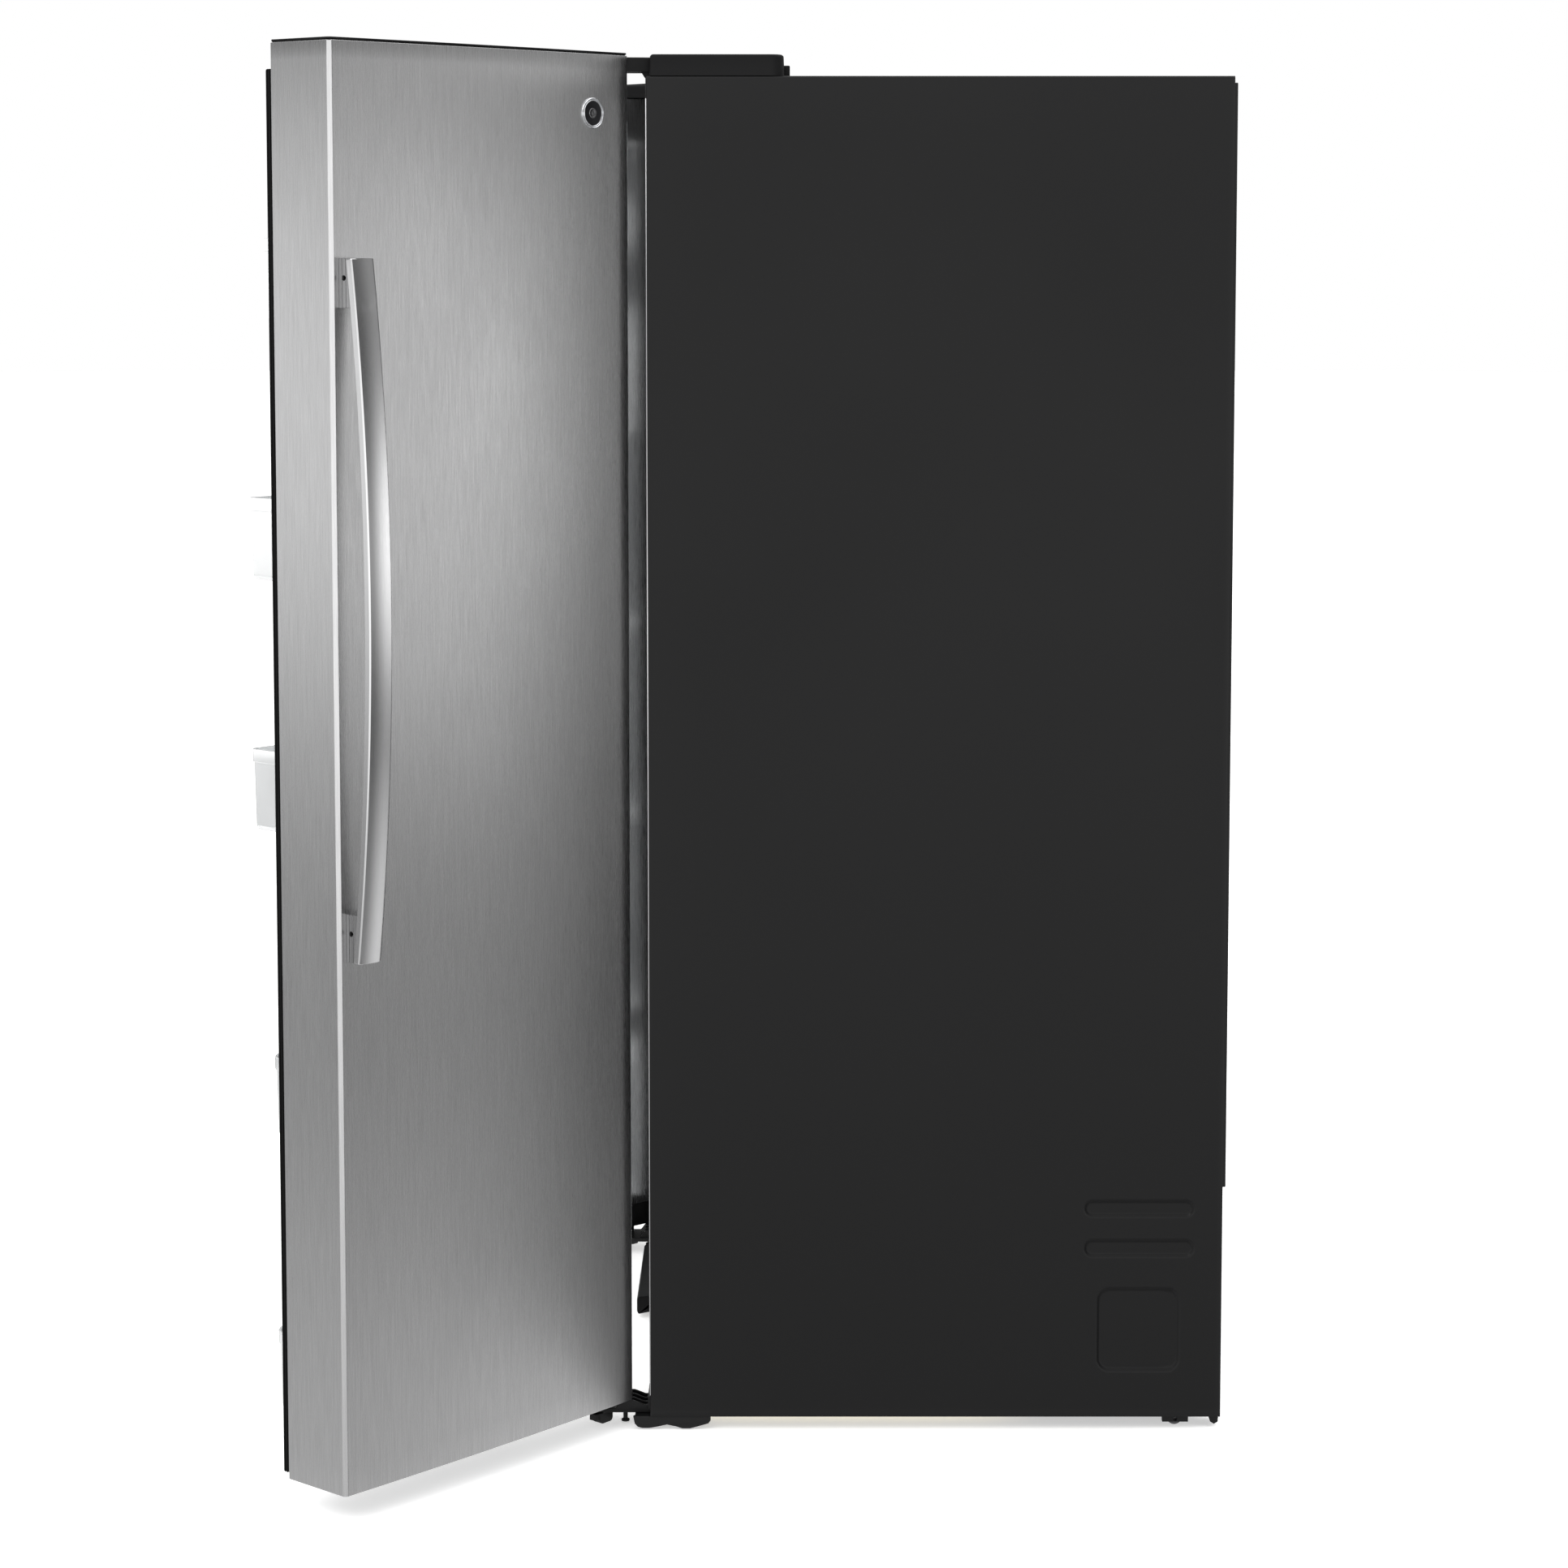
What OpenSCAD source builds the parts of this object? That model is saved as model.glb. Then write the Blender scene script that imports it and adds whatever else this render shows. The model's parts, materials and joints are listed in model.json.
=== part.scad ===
// Side by side refrigerator, both doors standing open at their stops.
// Origin: on the floor, midway between the sides, in the plane of the cabinet's front edge.
// X runs to the refrigerator's right, Y to its back, Z up. Millimetres.

/* [Cabinet] */
// Width of the cabinet
case_w = 908; // [880:1:940]
// Depth of the cabinet without its doors
case_d = 742; // [720:1:780]
// Height of the cabinet's top
case_top = 1748; // [1740:1:1756]
// Height of the side panels' lower edge
case_bottom = 18; // [16:1:19]

/* [Doors] */
// Height of the doors' top
door_top = 1777; // [1775:1:1780]
// Height of the doors' lower edge
door_bottom = 36; // [35:1:38]
// Width of the fresh food door
fresh_w = 502; // [495:1:505]
// Width of the freezer door
freezer_w = 400; // [395:1:402]
// Angle at which both doors stand open
open_angle = 138.8; // [130:0.1:139]

/* [Handles] */
// Length of a handle
handle_len = 833; // [780:1:860]
// Height of a handle's lower end
handle_z = 688; // [660:1:700]

/* [Hidden] */
$fn = 48;

half_w = case_w / 2;
sheet = 1.2;          // cabinet steel
skin_t = 1;           // door steel
liner_t = 2;          // plastic liners
fit = 0.05;           // radial clearance at pins and shafts
flange = 50;          // width of the cabinet's front frame
mullion_x = [-77, -25];       // the two compartments' inner edges
wall_x = half_w - flange;     // the compartments' outer edges
floor_z = 72;
ceiling_z = 1690;
step_y = 470;         // the machine compartment's front
step_z = 330;         // and its roof
rear_y = 680;         // the compartments' rear wall

door_t = 101;         // skin edge to edge of the back
stand_off = 12;       // between a closed door and the cabinet
axis_u = 25;          // hinge axis from the door's hinge side
axis_v = 42.5;        // and from the door's front edge
pin_r = 5;
bow = 4;              // how far a door's front bulges
edge_r = 6;
foot_h = 35;          // bottom cap's height on the hinge side
pocket_z = 1752;      // floor of the pocket that the hinge arm turns in
bore_z = 26;          // depth of a hinge pin in its door cap
axis_x = half_w - axis_u;
axis_y = axis_v - door_t - stand_off;

roller_r = 10.5;
drawer_y = 112;       // the drawers' fronts
drawer_x = [-10, 368];
basket_x = [-368, -92];
emboss = [[565, 704, 285, 304, 9], [565, 704, 232, 252, 9], [582, 686, 80, 188, 16]];
emboss_d = 2.5;

// ---------- shared shapes ----------

module block(x, y, z) {
    translate([x[0], y[0], z[0]]) cube([x[1] - x[0], y[1] - y[0], z[1] - z[0]]);
}

// a block with round vertical edges
module round_block(x, y, z, r) {
    translate([x[0], y[0], z[0]]) linear_extrude(z[1] - z[0])
        rounded_rect(x[1] - x[0], y[1] - y[0], r);
}

module rounded_rect(w, d, r) {
    translate([r, 0]) square([w - 2 * r, d]);
    translate([0, r]) square([w, d - 2 * r]);
    for (x = [r, w - r], y = [r, d - r]) translate([x, y]) circle(r);
}

// an extrusion along X of an outline drawn in Y and Z
module along_x(x) {
    translate([x[0], 0, 0]) rotate([90, 0, 90]) linear_extrude(x[1] - x[0]) children();
}

module tube_y(p, r, len) {
    translate(p) rotate([-90, 0, 0]) cylinder(r = r, h = len);
}

module tube_x(p, r, len) {
    translate(p) rotate([0, 90, 0]) cylinder(r = r, h = len);
}

module both_sides() {
    children();
    mirror([1, 0, 0]) children();
}

// an open tray: outer box, wall thickness, corner radius
module tray(x, y, z, t, r) {
    difference() {
        round_block(x, y, z, r);
        round_block([x[0] + t, x[1] - t], [y[0] + t, y[1] - t], [z[0] + t, z[1] + 1], r - t);
    }
}

// a door's place: drawn with its hinge side at u = 0, front at v = 0, then hung and opened
module hung(fresh) {
    mirror([fresh ? 1 : 0, 0, 0])
        translate([-axis_x, axis_y, 0]) rotate([0, 0, -open_angle])
            translate([-axis_u, -axis_v, 0]) children();
}

// ---------- cabinet ----------

module emboss_pads(grow, x) {
    for (e = emboss) translate([x, 0, 0]) rotate([90, 0, 90]) translate([e[0] - grow, e[2] - grow])
        linear_extrude(emboss_d + 2 * sheet)
            rounded_rect(e[1] - e[0] + 2 * grow, e[3] - e[2] + 2 * grow, e[4] + grow);
}

module cabinet_shell() color("dimgray") {
    inner = half_w - sheet;
    difference() {
        block([-half_w, half_w], [0, case_d], [case_bottom, case_top]);
        block([-inner, inner], [sheet, case_d + 1], [case_bottom - 1, case_top - sheet]);
        block([-inner, inner], [-1, 2], [0, 42]);
        block([-wall_x - 2.2, mullion_x[0] + 2.2], [-1, 2], [floor_z - 2.2, ceiling_z + 2.2]);
        block([mullion_x[1] - 2.2, wall_x + 2.2], [-1, 2], [floor_z - 2.2, ceiling_z + 2.2]);
        block([-80, -22], [-1, 2], [floor_z - 2.2, ceiling_z + 2.2]);
        both_sides() translate([2 * sheet, 0, 0]) emboss_cut();
    }
    both_sides() emboss_dish();
}

module emboss_cut() {
    emboss_pads(0, inner_x() - sheet * 2);
}

function inner_x() = half_w - sheet;

// the pressed-in pocket behind each emboss
module emboss_dish() {
    difference() {
        translate([-emboss_d - 2 * sheet - 0.01, 0, 0]) emboss_pads(sheet, inner_x() + 0.01);
        translate([-emboss_d, 0, 0]) emboss_pads(0, inner_x());
    }
}

module back_panel() color("gray") {
    block([-440, 440], [case_d + 0.2, case_d + 5.5], [319, 1740]);
    both_sides() block([380, 400], [case_d + 0.2, case_d + 5], [41, 52]);
}

module insulation() color("khaki") {
    side = [wall_x + liner_t + 0.3, inner_x() - 0.3];
    both_sides() difference() {
        block(side, [2, rear_y + liner_t + 0.2], [62, ceiling_z + 2.3]);
        translate([-emboss_d - 2 * sheet, 0, 0]) emboss_pads(sheet + 0.3, inner_x());
        block([0, half_w], [step_y + 3, case_d], [0, 62.5]);
    }
    block([-inner_x() + 0.3, inner_x() - 0.3], [2, 738], [ceiling_z + 2.6, case_top - sheet - 0.3]);
    block([-inner_x() + 0.3, inner_x() - 0.3], [rear_y + 2.6, 738], [319.5, ceiling_z + 2.3]);
    block([-wall_x, wall_x], [2, step_y - 17.7], [44, floor_z - 2.3]);
    block([-wall_x, wall_x], [step_y - 17.4, step_y], [44, step_z - 2.3]);
    block([-wall_x, wall_x], [step_y + 0.3, rear_y + 2.3], [step_z - 20, step_z - 2.3]);
    difference() {
        block([mullion_x[0] + 2.3, mullion_x[1] - 2.3], [5, rear_y + 2.3], [floor_z, ceiling_z]);
        block([-100, 0], [step_y - 17.7, case_d], [0, step_z - 2]);
    }
}

// the stepped side outline of a compartment, grown by t, from y at its front
module compartment_outline(t, y) {
    y1 = rear_y + t;
    ys = step_y - 20 + t;
    zs = step_z - t;
    polygon([[y, floor_z - t], [ys, floor_z - t], [ys, zs], [y1, zs], [y1, ceiling_z + t],
        [y, ceiling_z + t]]);
}

module compartment_shell(x) difference() {
    along_x([x[0] - liner_t, x[1] + liner_t]) compartment_outline(liner_t, 0);
    along_x(x) compartment_outline(0, -1);
}

module fresh_liner() color("white") compartment_shell([mullion_x[1], wall_x]);

module freezer_liner() color("white") compartment_shell([-wall_x, mullion_x[0]]);

module mullion_bar() color("dimgray")
    block([mullion_x[0] + 2.2, mullion_x[1] - 2.2], [0, 4.5], [floor_z + 0.2, ceiling_z - 0.2]);

module base_frame() color("darkgray") {
    both_sides() {
        block([400, 440], [32, 720], [22, 25]);
        block([400, 403], [32, 720], [24.9, 41]);
        difference() {
            block([404, 440], [668, 702], [6.5, 22.1]);
            block([414, 430], [660, 710], [0, 22]);
            tube_x([400, 685, roller_r], 2.5 + fit, 50);
        }
        along_x([406, 438]) polygon([[719, 22.1], [728, 16], [731, 6], [736, 3], [741, 6],
            [742, 22.1]]);
        block([406, 438], [716, 742], [22, 25]);
        translate([436, 97, 15]) cylinder(r = 5, h = 7.1);
    }
    block([-400.1, 400.1], [step_y + 6, 735], [22, 24]);
    block([-400.1, 400.1], [32, 36], [22, 41]);
}

// the air intake stands proud below the freezer door and is flush below the other
module base_grille() color("black") {
    split = -50;
    along_x([-330, split]) polygon([[-37, 9], [-35, 5], [-33, 5], [-34, 27], [20, 33], [20, 35.5],
        [-34, 30], [-37, 27]]);
    for (x = [-330, split - 3]) along_x([x, x + 3]) polygon([[-37, 9], [-33, 5], [12, 14],
        [20, 33], [-34, 27], [-37, 27]]);
    along_x([split - 0.1, 330]) polygon([[-2, 8], [0.5, 8], [0.5, 30], [20, 33], [20, 35.5],
        [-2, 33]]);
}

module machine_cover() color("gray") difference() {
    block([-430, 430], [736, 739], [46, 317]);
    for (i = [0 : 13]) block([90 + i * 18, 98 + i * 18], [730, 745], [90, 250]);
    tube_y([-360, 720, 110], 9, 40);
    tube_y([370, 720, 110], 12, 40);
}

module compressor() color("black") {
    translate([-260, 610, 62]) {
        cylinder(r = 82, h = 90);
        translate([0, 0, 90]) intersection() {
            translate([0, 0, -60]) sphere(101);
            cylinder(r = 82, h = 60);
        }
        for (a = [45 : 90 : 315]) rotate([0, 0, a]) translate([88, 0, -38]) cylinder(r = 12, h = 50);
        translate([60, -20, 20]) block([10, 44], [0, 50], [0, 50]);
    }
}

module condenser() color("black") {
    for (z = [60 : 28 : 172], y = [560, 600, 640]) tube_x([90, y, z], 4, 240);
    block([84, 90.5], [545, 655], [48, 186]);
    block([329.5, 336], [545, 655], [48, 186]);
}

module drain_pan() color("dimgray") tray([76, 346], [530, 670], [25, 45], 2, 10);

// both fans' motors, each on its bracket
module fan_motors() color("silver") {
    tube_x([-56, 600, 120], 24, 42);
    tube_x([-14.1, 600, 120], 3, 21.6);
    difference() {
        block([-60, -56.2], [510, 690], [25, 210]);
        tube_x([-70, 600, 120], 10, 40);
    }
    tube_y([-240, 628, 1080], 22, 34);
    tube_y([-240, 609, 1080], 3, 19.1);
    difference() {
        block([-310, -170], [662.2, 666], [1010, 1150]);
        tube_y([-240, 650, 1080], 8, 40);
    }
}

module water_valve() color("white") difference() {
    union() {
        block([345, 395], [690, 735.8], [85, 140]);
        tube_y([370, 735, 110], 8, 6.5);
        block([350, 375], [670, 690.1], [95, 130]);
    }
    tube_y([370, 725.5, 110], 3.25, 20);
}

module power_inlet() color("black") difference() {
    union() {
        tube_y([-360, 725, 110], 8.8, 16.5);
        tube_y([-360, 728, 110], 13, 7.8);
    }
    tube_y([-360, 720, 110], 4.2, 40);
}

module evaporator() color("silver") {
    for (i = [0 : 19]) block([-380 + i * 14.5, -379 + i * 14.5], [585, 655], [420, 900]);
    for (z = [440 : 60 : 860], y = [603, 637]) tube_x([-392, y, z], 4, 310);
}

module evaporator_cover() color("white") difference() {
    block([-wall_x + 0.5, mullion_x[0] - 0.5], [560, 563], [step_z + 0.5, ceiling_z - 0.5]);
    for (i = [0 : 6]) block([-300, -180], [550, 570], [1040 + i * 14, 1047 + i * 14]);
    for (i = [0 : 9]) block([-340 + i * 20, -330 + i * 20], [550, 570], [350, 390]);
}

module air_duct() color("white") difference() {
    block([140, 240], [655, 679.5], [620, 1630]);
    for (z = [760 : 220 : 1500]) block([165, 215], [650, 670], [z, z + 8]);
}

filter = [322, 1655];

module control_housing() color("whitesmoke") {
    difference() {
        block([10, 370], [60, 330], [1640, 1689.5]);
        block([60, 230], [80, 280], [1630, 1652]);
    }
    difference() {
        block([285, 360], [330, 400], [1622, 1689.5]);
        tube_y([filter[0], 342, filter[1]], 27, 80);
        tube_y([filter[0], 325, filter[1]], 8 + fit, 80);
    }
}

module lamp_lenses() color("ivory") {
    block([61, 229], [81, 279], [1642, 1646]);
    block([-330, -150], [120, 220], [1683, 1689.5]);
}

shelf_z = [780, 1000, 1220, 1440];
module glass_shelves() color("lightblue")
    for (z = shelf_z) block([-14, 393], [166, 636], [z, z + 4]);

module shelf_frames() color("whitesmoke") for (z = shelf_z) difference() {
    union() {
        block([-20, 399], [154, 645], [z - 8, z + 7]);
        for (x = [40, 320]) block([x, x + 6], [560, 672.8], [z - 20, z - 8]);
    }
    block([-14.2, 393.2], [165.8, 636.2], [z - 0.2, z + 8]);
    block([-8, 387], [172, 630], [z - 9, z + 1]);
}

module shelf_tracks() color("silver") for (x = [35, 315]) difference() {
    block([x, x + 16], [673, 679.5], [640, 1600]);
    for (z = [660 : 40 : 1580]) block([x + 5, x + 11], [670, 677], [z, z + 14]);
}

// rails and cover plates that carry the drawers
module drawer_rails() color("white") {
    for (z = [292, 548]) {
        depth = z < step_z ? step_y - 24 : 640;
        block([mullion_x[1] + 0.3, drawer_x[0] - 1], [120, depth], [z - 40, z - 2]);
        block([drawer_x[1] + 1, wall_x - 0.3], [120, depth], [z - 40, z - 2]);
        block([mullion_x[1] + 0.3, wall_x - 0.3], [120, depth], [z, z + 8]);
    }
    for (x = [[mullion_x[1] + 0.3, drawer_x[0] + 12], [drawer_x[1] - 12, wall_x - 0.3]])
        block(x, [160, 600], [716, 722]);
    for (x = [[-wall_x + 0.3, basket_x[0] - 1], [basket_x[1] + 1, mullion_x[0] - 0.3]])
        block(x, [120, step_y - 24], [252, 290]);
}

module freezer_shelves() color("white") for (z = [345, 650, 950, 1260]) {
    block([-wall_x + 1, mullion_x[0] - 1], [140, 150.1], [z - 10, z + 3]);
    block([-wall_x + 1, mullion_x[0] - 1], [150, 552], [z - 3, z + 3]);
}

module ice_maker() color("white") {
    block([-wall_x + 0.4, -275], [230, 540], [1530, 1610]);
    block([-275, -150], [250, 540], [1545, 1560]);
    for (y = [275 : 40 : 515]) block([-272, -160], [y, y + 3], [1560, 1590]);
}

// ---------- hinges, covers, feet ----------

module upper_hinges() color("silver") both_sides() {
    block([390, 427], [axis_y, 130], [1756, 1760]);
    block([392, 427], [30, 128], [case_top + 0.1, 1756.1]);
    for (y = [50, 110]) translate([410, y, 1759]) cylinder(r = 7, h = 5);
    translate([axis_x, axis_y, 0]) {
        translate([0, 0, 1756]) cylinder(r = 12, h = 4);
        translate([0, 0, pocket_z - bore_z + 2]) cylinder(r = pin_r, h = 32);
    }
}

module cover_outline(g) {
    translate([386 + g, 5 + g]) rounded_rect(66 - 2 * g, 170 - 2 * g, 18 - g);
    translate([386 + g, 5 + g]) square([66 - 2 * g, 40]);
}

// the part of a hinge cover over the arm, g inside its outside
module arm_cover(g, z) {
    block([386 + g, 431 - g], [axis_y, 20 + g], z);
    translate([axis_x, axis_y, z[0]]) cylinder(r = 15 - g, h = z[1] - z[0]);
    block([386 + g, axis_x], [axis_y - 15 + g, axis_y + 1], z);
}

module hinge_covers() color("black") both_sides() difference() {
    union() {
        translate([0, 0, case_top + 0.2]) linear_extrude(27) cover_outline(0);
        arm_cover(0, [1754, 1772]);
        block([400, 426], [170, 182], [case_top + 0.2, 1762]);
        along_x([386, 431]) polygon([[-9, 1757], [-5, 1752], [-0.3, 1745], [-0.3, 1757]]);
    }
    translate([0, 0, case_top]) linear_extrude(25) cover_outline(2.2);
    arm_cover(2.2, [1750, 1769.8]);
}

module lower_hinges() color("black") both_sides() {
    block([384, 438], [axis_y - 10, 31.5], [case_bottom + 0.2, 24]);
    block([384, 444], [-3, 5], [23.9, 41.5]);
    for (x = [388, 404, 420, 434]) along_x([x, x + 4]) polygon([[-46, 23.9], [-38, 34.5],
        [-22, 34.5], [-8, 29], [-2.9, 29], [-2.9, 23.9]]);
    translate([axis_x, axis_y, 0]) {
        translate([0, 0, 23.9]) cylinder(r = 14, h = 10);
        translate([0, 0, 30]) cylinder(r = pin_r, h = bore_z + 4);
        translate([0, 8, 0]) rotate([0, 0, open_angle]) stop_block();
    }
    translate([424, -33, 3]) cylinder(r = 5.5, h = 3);
    translate([424, -33, 5.9]) cylinder(r = 3, h = 13);
}

// the block under a lower hinge that stops the door, round below
module stop_block() {
    top = case_bottom + 0.3;
    translate([0, 7, 0]) rotate([90, 0, 0]) linear_extrude(14) polygon([[-12, top], [-12, 8],
        [-10.5, 5], [-7, 3.5], [7, 3.5], [10.5, 5], [12, 8], [12, top]]);
    block([-19, -11.9], [-6, 6], [9, top]);
}

module roller_brackets() color("black") both_sides() {
    difference() {
        along_x([404, 450]) polygon([[-20, 17.8], [-18, 11], [-8, 9], [12, 8.5], [24, 11],
            [34, 8], [47, 5], [60, 8], [72, 13], [79, 17.8]]);
        block([419, 437], [29, 65], [0, 30]);
        tube_x([400, 47, roller_r], 2.5 + fit, 60);
        translate([428, -5, 0]) cylinder(r = 5 + fit, h = 30);
    }
    along_x([446, 452]) polygon([[-22, 17.8], [-20, 8], [-16, 3.5], [-10, 2], [-1, 2], [8, 3.5],
        [22, 6.5], [34, 4], [42, 1.4], [52, 1.4], [62, 4], [76, 8], [79, 12], [79, 17.8]]);
}

// threaded leg with a hexagonal pad, hanging in its bracket
module leveling_leg(side) translate([side * 428, -5, 0]) {
    cylinder(r = 11, h = 7.5, $fn = 6);
    cylinder(r = 5, h = 17.9);
}

module leveling_leg_right() color("silver") leveling_leg(1);

module leveling_leg_left() color("silver") leveling_leg(-1);

module roller(x, y, w) {
    tube_x([x - w / 2, y, roller_r], roller_r, w);
    tube_x([x - w / 2 - 5, y, roller_r], 2.5, w + 10);
}

module front_roller_right() color("dimgray") roller(428, 47, 16);

module front_roller_left() color("dimgray") roller(-428, 47, 16);

module rear_roller_right() color("dimgray") roller(422, 685, 14);

module rear_roller_left() color("dimgray") roller(-422, 685, 14);

module blades(n, r, h, hub) {
    difference() {
        union() {
            cylinder(r = hub, h = h);
            for (i = [0 : n - 1]) rotate([0, 0, i * 360 / n]) translate([hub - 3, 0, h / 2])
                rotate([28, 0, 0]) translate([0, -(r - hub) / 3, -1])
                    cube([r - hub, (r - hub) / 1.5, 2]);
        }
        translate([0, 0, -20]) cylinder(r = 3 + fit, h = h + 40);
    }
    translate([0, 0, h - 2]) cylinder(r = hub - 2, h = 2);
}

module condenser_fan() color("dimgray")
    translate([-10, 600, 120]) rotate([0, 90, 0]) blades(5, 75, 20, 18);

module evaporator_fan() color("white")
    translate([-240, 624, 1080]) rotate([90, 0, 0]) blades(5, 58, 18, 16);

// ---------- drawers ----------

module drawer(x, y, z) {
    tray(x, y, z, 3, 12);
    block([x[0] + 6, x[1] - 6], [y[0] - 6, y[0] + 0.1], [z[1] - 70, z[1] - 4]);
    block([x[0] + 40, x[1] - 40], [y[0] - 17, y[0] - 5.9], [z[1] - 26, z[1] - 20]);
}

module crisper_lower() color("lightblue")
    drawer(drawer_x, [drawer_y + 18, step_y - 28], [floor_z + 0.4, 289]);

module crisper_upper() color("lightblue")
    drawer(drawer_x, [drawer_y + 18, 636], [step_z + 0.4, 545]);

module deli_drawer() color("lightblue") drawer(drawer_x, [158, 600], [600, 714]);

module freezer_basket() color("white")
    drawer(basket_x, [drawer_y + 18, step_y - 28], [floor_z + 0.4, 289]);

module ice_bucket() color("white") drawer([-386, -90], [180, 545], [1263.4, 1440]);

module water_filter() color("white") {
    tube_y([filter[0], 344, filter[1]], 26, 200);
    tube_y([filter[0], 332, filter[1]], 8, 12.1);
}

// ---------- doors ----------

// points of a door's outline with its front bowed and both front corners rounded
function door_outline(w, g) = concat(
    [[g, door_t]],
    [for (a = [180 : 15 : 270]) [g + edge_r + edge_r * cos(a), g + edge_r + edge_r * sin(a)]],
    [for (i = [1 : 15]) let (s = i / 16, x = edge_r + s * (w - 2 * edge_r))
        [x, g - bow * 4 * s * (1 - s)]],
    [for (a = [270 : 15 : 360]) [w - g - edge_r + edge_r * cos(a), g + edge_r + edge_r * sin(a)]],
    [[w - g, door_t]]);

module door_prism(w, g, z) {
    translate([0, 0, z[0]]) linear_extrude(z[1] - z[0]) polygon(door_outline(w, g));
}

module door_skin(w) difference() {
    door_prism(w, 0, [door_bottom, door_top - 2.5]);
    door_prism(w, skin_t, [door_bottom - 1, door_top]);
    block([skin_t, w - skin_t], [door_t - 2, door_t + 2], [door_bottom - 1, door_top]);
    block([-1, skin_t + 0.5], [edge_r + 2, door_t + 1], [pocket_z + 1, door_top]);
    block([-1, skin_t + 0.5], [edge_r + 2, door_t + 1], [door_bottom - 1, door_bottom + foot_h]);
}

module door_caps(w) {
    in = skin_t + 0.1;
    difference() {
        union() {
            door_prism(w, in, [pocket_z - 7, door_top - 2.4]);
            door_prism(w, 0, [door_top - 2.4, door_top]);
            translate([axis_u, axis_v, pocket_z - bore_z]) cylinder(r = 14, h = bore_z - 6);
        }
        block([-1, axis_u + 47], [axis_v - 38, door_t + 1], [pocket_z, door_top + 1]);
        translate([axis_u, axis_v, pocket_z - bore_z - 1]) cylinder(r = pin_r + fit, h = bore_z + 2);
    }
    difference() {
        union() {
            door_prism(w, in, [door_bottom + 0.2, door_bottom + 12]);
            block([0, in + 1], [edge_r + 2.2, door_t],
                [door_bottom + 0.2, door_bottom + foot_h - 0.1]);
            block([in, 46], [20, door_t - 5], [door_bottom + 11, door_bottom + foot_h - 0.2]);
        }
        translate([axis_u, axis_v, door_bottom - 1]) cylinder(r = pin_r + fit, h = foot_h);
    }
}

module door_foam(w) difference() {
    door_prism(w, skin_t + 0.3, [door_bottom + 12.4, pocket_z - 7.3]);
    block([0, w], [door_t - 4.3, door_t + 1], [0, door_top]);
    block([-1, 47], [19, door_t + 1], [0, door_bottom + foot_h + 0.1]);
    translate([axis_u, axis_v, pocket_z - bore_z - 0.4]) cylinder(r = 14.4, h = bore_z);
    block([0, 2.5], [0, door_t], [0, door_bottom + foot_h + 0.1]);
}

// width of the band between the raised side walls that carry the bins
function dike_in(w) = w - 58;

module door_liner(w) difference() {
    liner_pan(w);
    tube_x([60, door_t + 32, lid_z], 3 + fit, w);
}

module liner_pan(w) {
    difference() {
        block([2, w - 2], [door_t - 4, door_t], [door_bottom + 12.4, pocket_z - 7.3]);
        block([-1, 47], [0, door_t + 1], [0, door_bottom + foot_h + 0.1]);
    }
    for (u = [[62, 84], [dike_in(w), dike_in(w) + 18]])
        block(u, [door_t - 0.1, door_t + 40], [84, 1650]);
    for (z = [[76, 84], [1650, 1662]])
        block([62, dike_in(w) + 18], [door_t - 0.1, door_t + 40], z);
}

module gasket(w) difference() {
    block([26, w - 4], [door_t + 0.1, door_t + 11.4], [door_bottom + 7, door_top - 34]);
    block([44, w - 22], [door_t - 1, door_t + 12], [door_bottom + 25, door_top - 52]);
}

// points of an arc through the handle's length, at distance d outside its inner face
handle_sag = 26;
handle_R = (pow(handle_len / 2, 2) + pow(handle_sag, 2)) / (2 * handle_sag);
handle_half = asin(handle_len / 2 / handle_R);
function handle_arc(d) = [for (i = [-12 : 12]) let (a = handle_half * i / 12)
    [-17 - handle_sag - d + handle_R - (handle_R) * cos(a), (handle_R + d) * sin(a)]];
function reversed(list) = [for (i = [len(list) - 1 : -1 : 0]) list[i]];

module handle(w) {
    u = [w - 41, w - 7];
    mid = handle_z + handle_len / 2;
    translate([u[0], 0, mid]) rotate([90, 0, 90]) linear_extrude(u[1] - u[0])
        polygon(concat(handle_arc(0), reversed(handle_arc(11))));
    for (z = [handle_z, handle_z + handle_len - 58]) difference() {
        block([u[0] + 3, u[1] - 3], [-20.5, -1.3], [z, z + 58]);
        tube_x([u[1] - 14, -10, z + 35], 3, 20);
    }
}

bins = [[87, 107, 30], [434, 107, 30], [815, 135, 8], [1126, 135, 8], [1443, 107, 30]];

// one door bin: body, thick rim, and its rounded front corners
module bin(u, z, d, r) difference() {
    union() {
        bin_body(u, [z, z + 102], d, r, 0);
        bin_body(u, [z + 86, z + 102], d, r, 1.8);
    }
    bin_body(u, [z + 3, z + 110], d, r, -3);
}

module bin_body(u, z, d, r, g) {
    v = door_t + 0.4;
    x = [u[0] - g, u[1] + g];
    front = v + d + g - 2;
    rr = r + g;
    translate([0, 0, z[0]]) linear_extrude(z[1] - z[0]) {
        translate([x[0], v - min(g, 0)]) square([x[1] - x[0], front - rr - v + min(g, 0)]);
        translate([x[0] + rr, v - min(g, 0)]) square([x[1] - x[0] - 2 * rr, front - v + min(g, 0)]);
        for (cx = [x[0] + rr, x[1] - rr]) translate([cx, front - rr]) circle(rr);
    }
}

module fresh_door_skin() color("silver") hung(true) door_skin(fresh_w);

module fresh_door_foam() color("khaki") hung(true) door_foam(fresh_w);

module fresh_door_liner() color("white") hung(true) door_liner(fresh_w);

module fresh_door_caps() color("black") hung(true) door_caps(fresh_w);

module fresh_gasket() color("black") hung(true) gasket(fresh_w);

module fresh_handle() color("silver") hung(true) handle(fresh_w);

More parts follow.
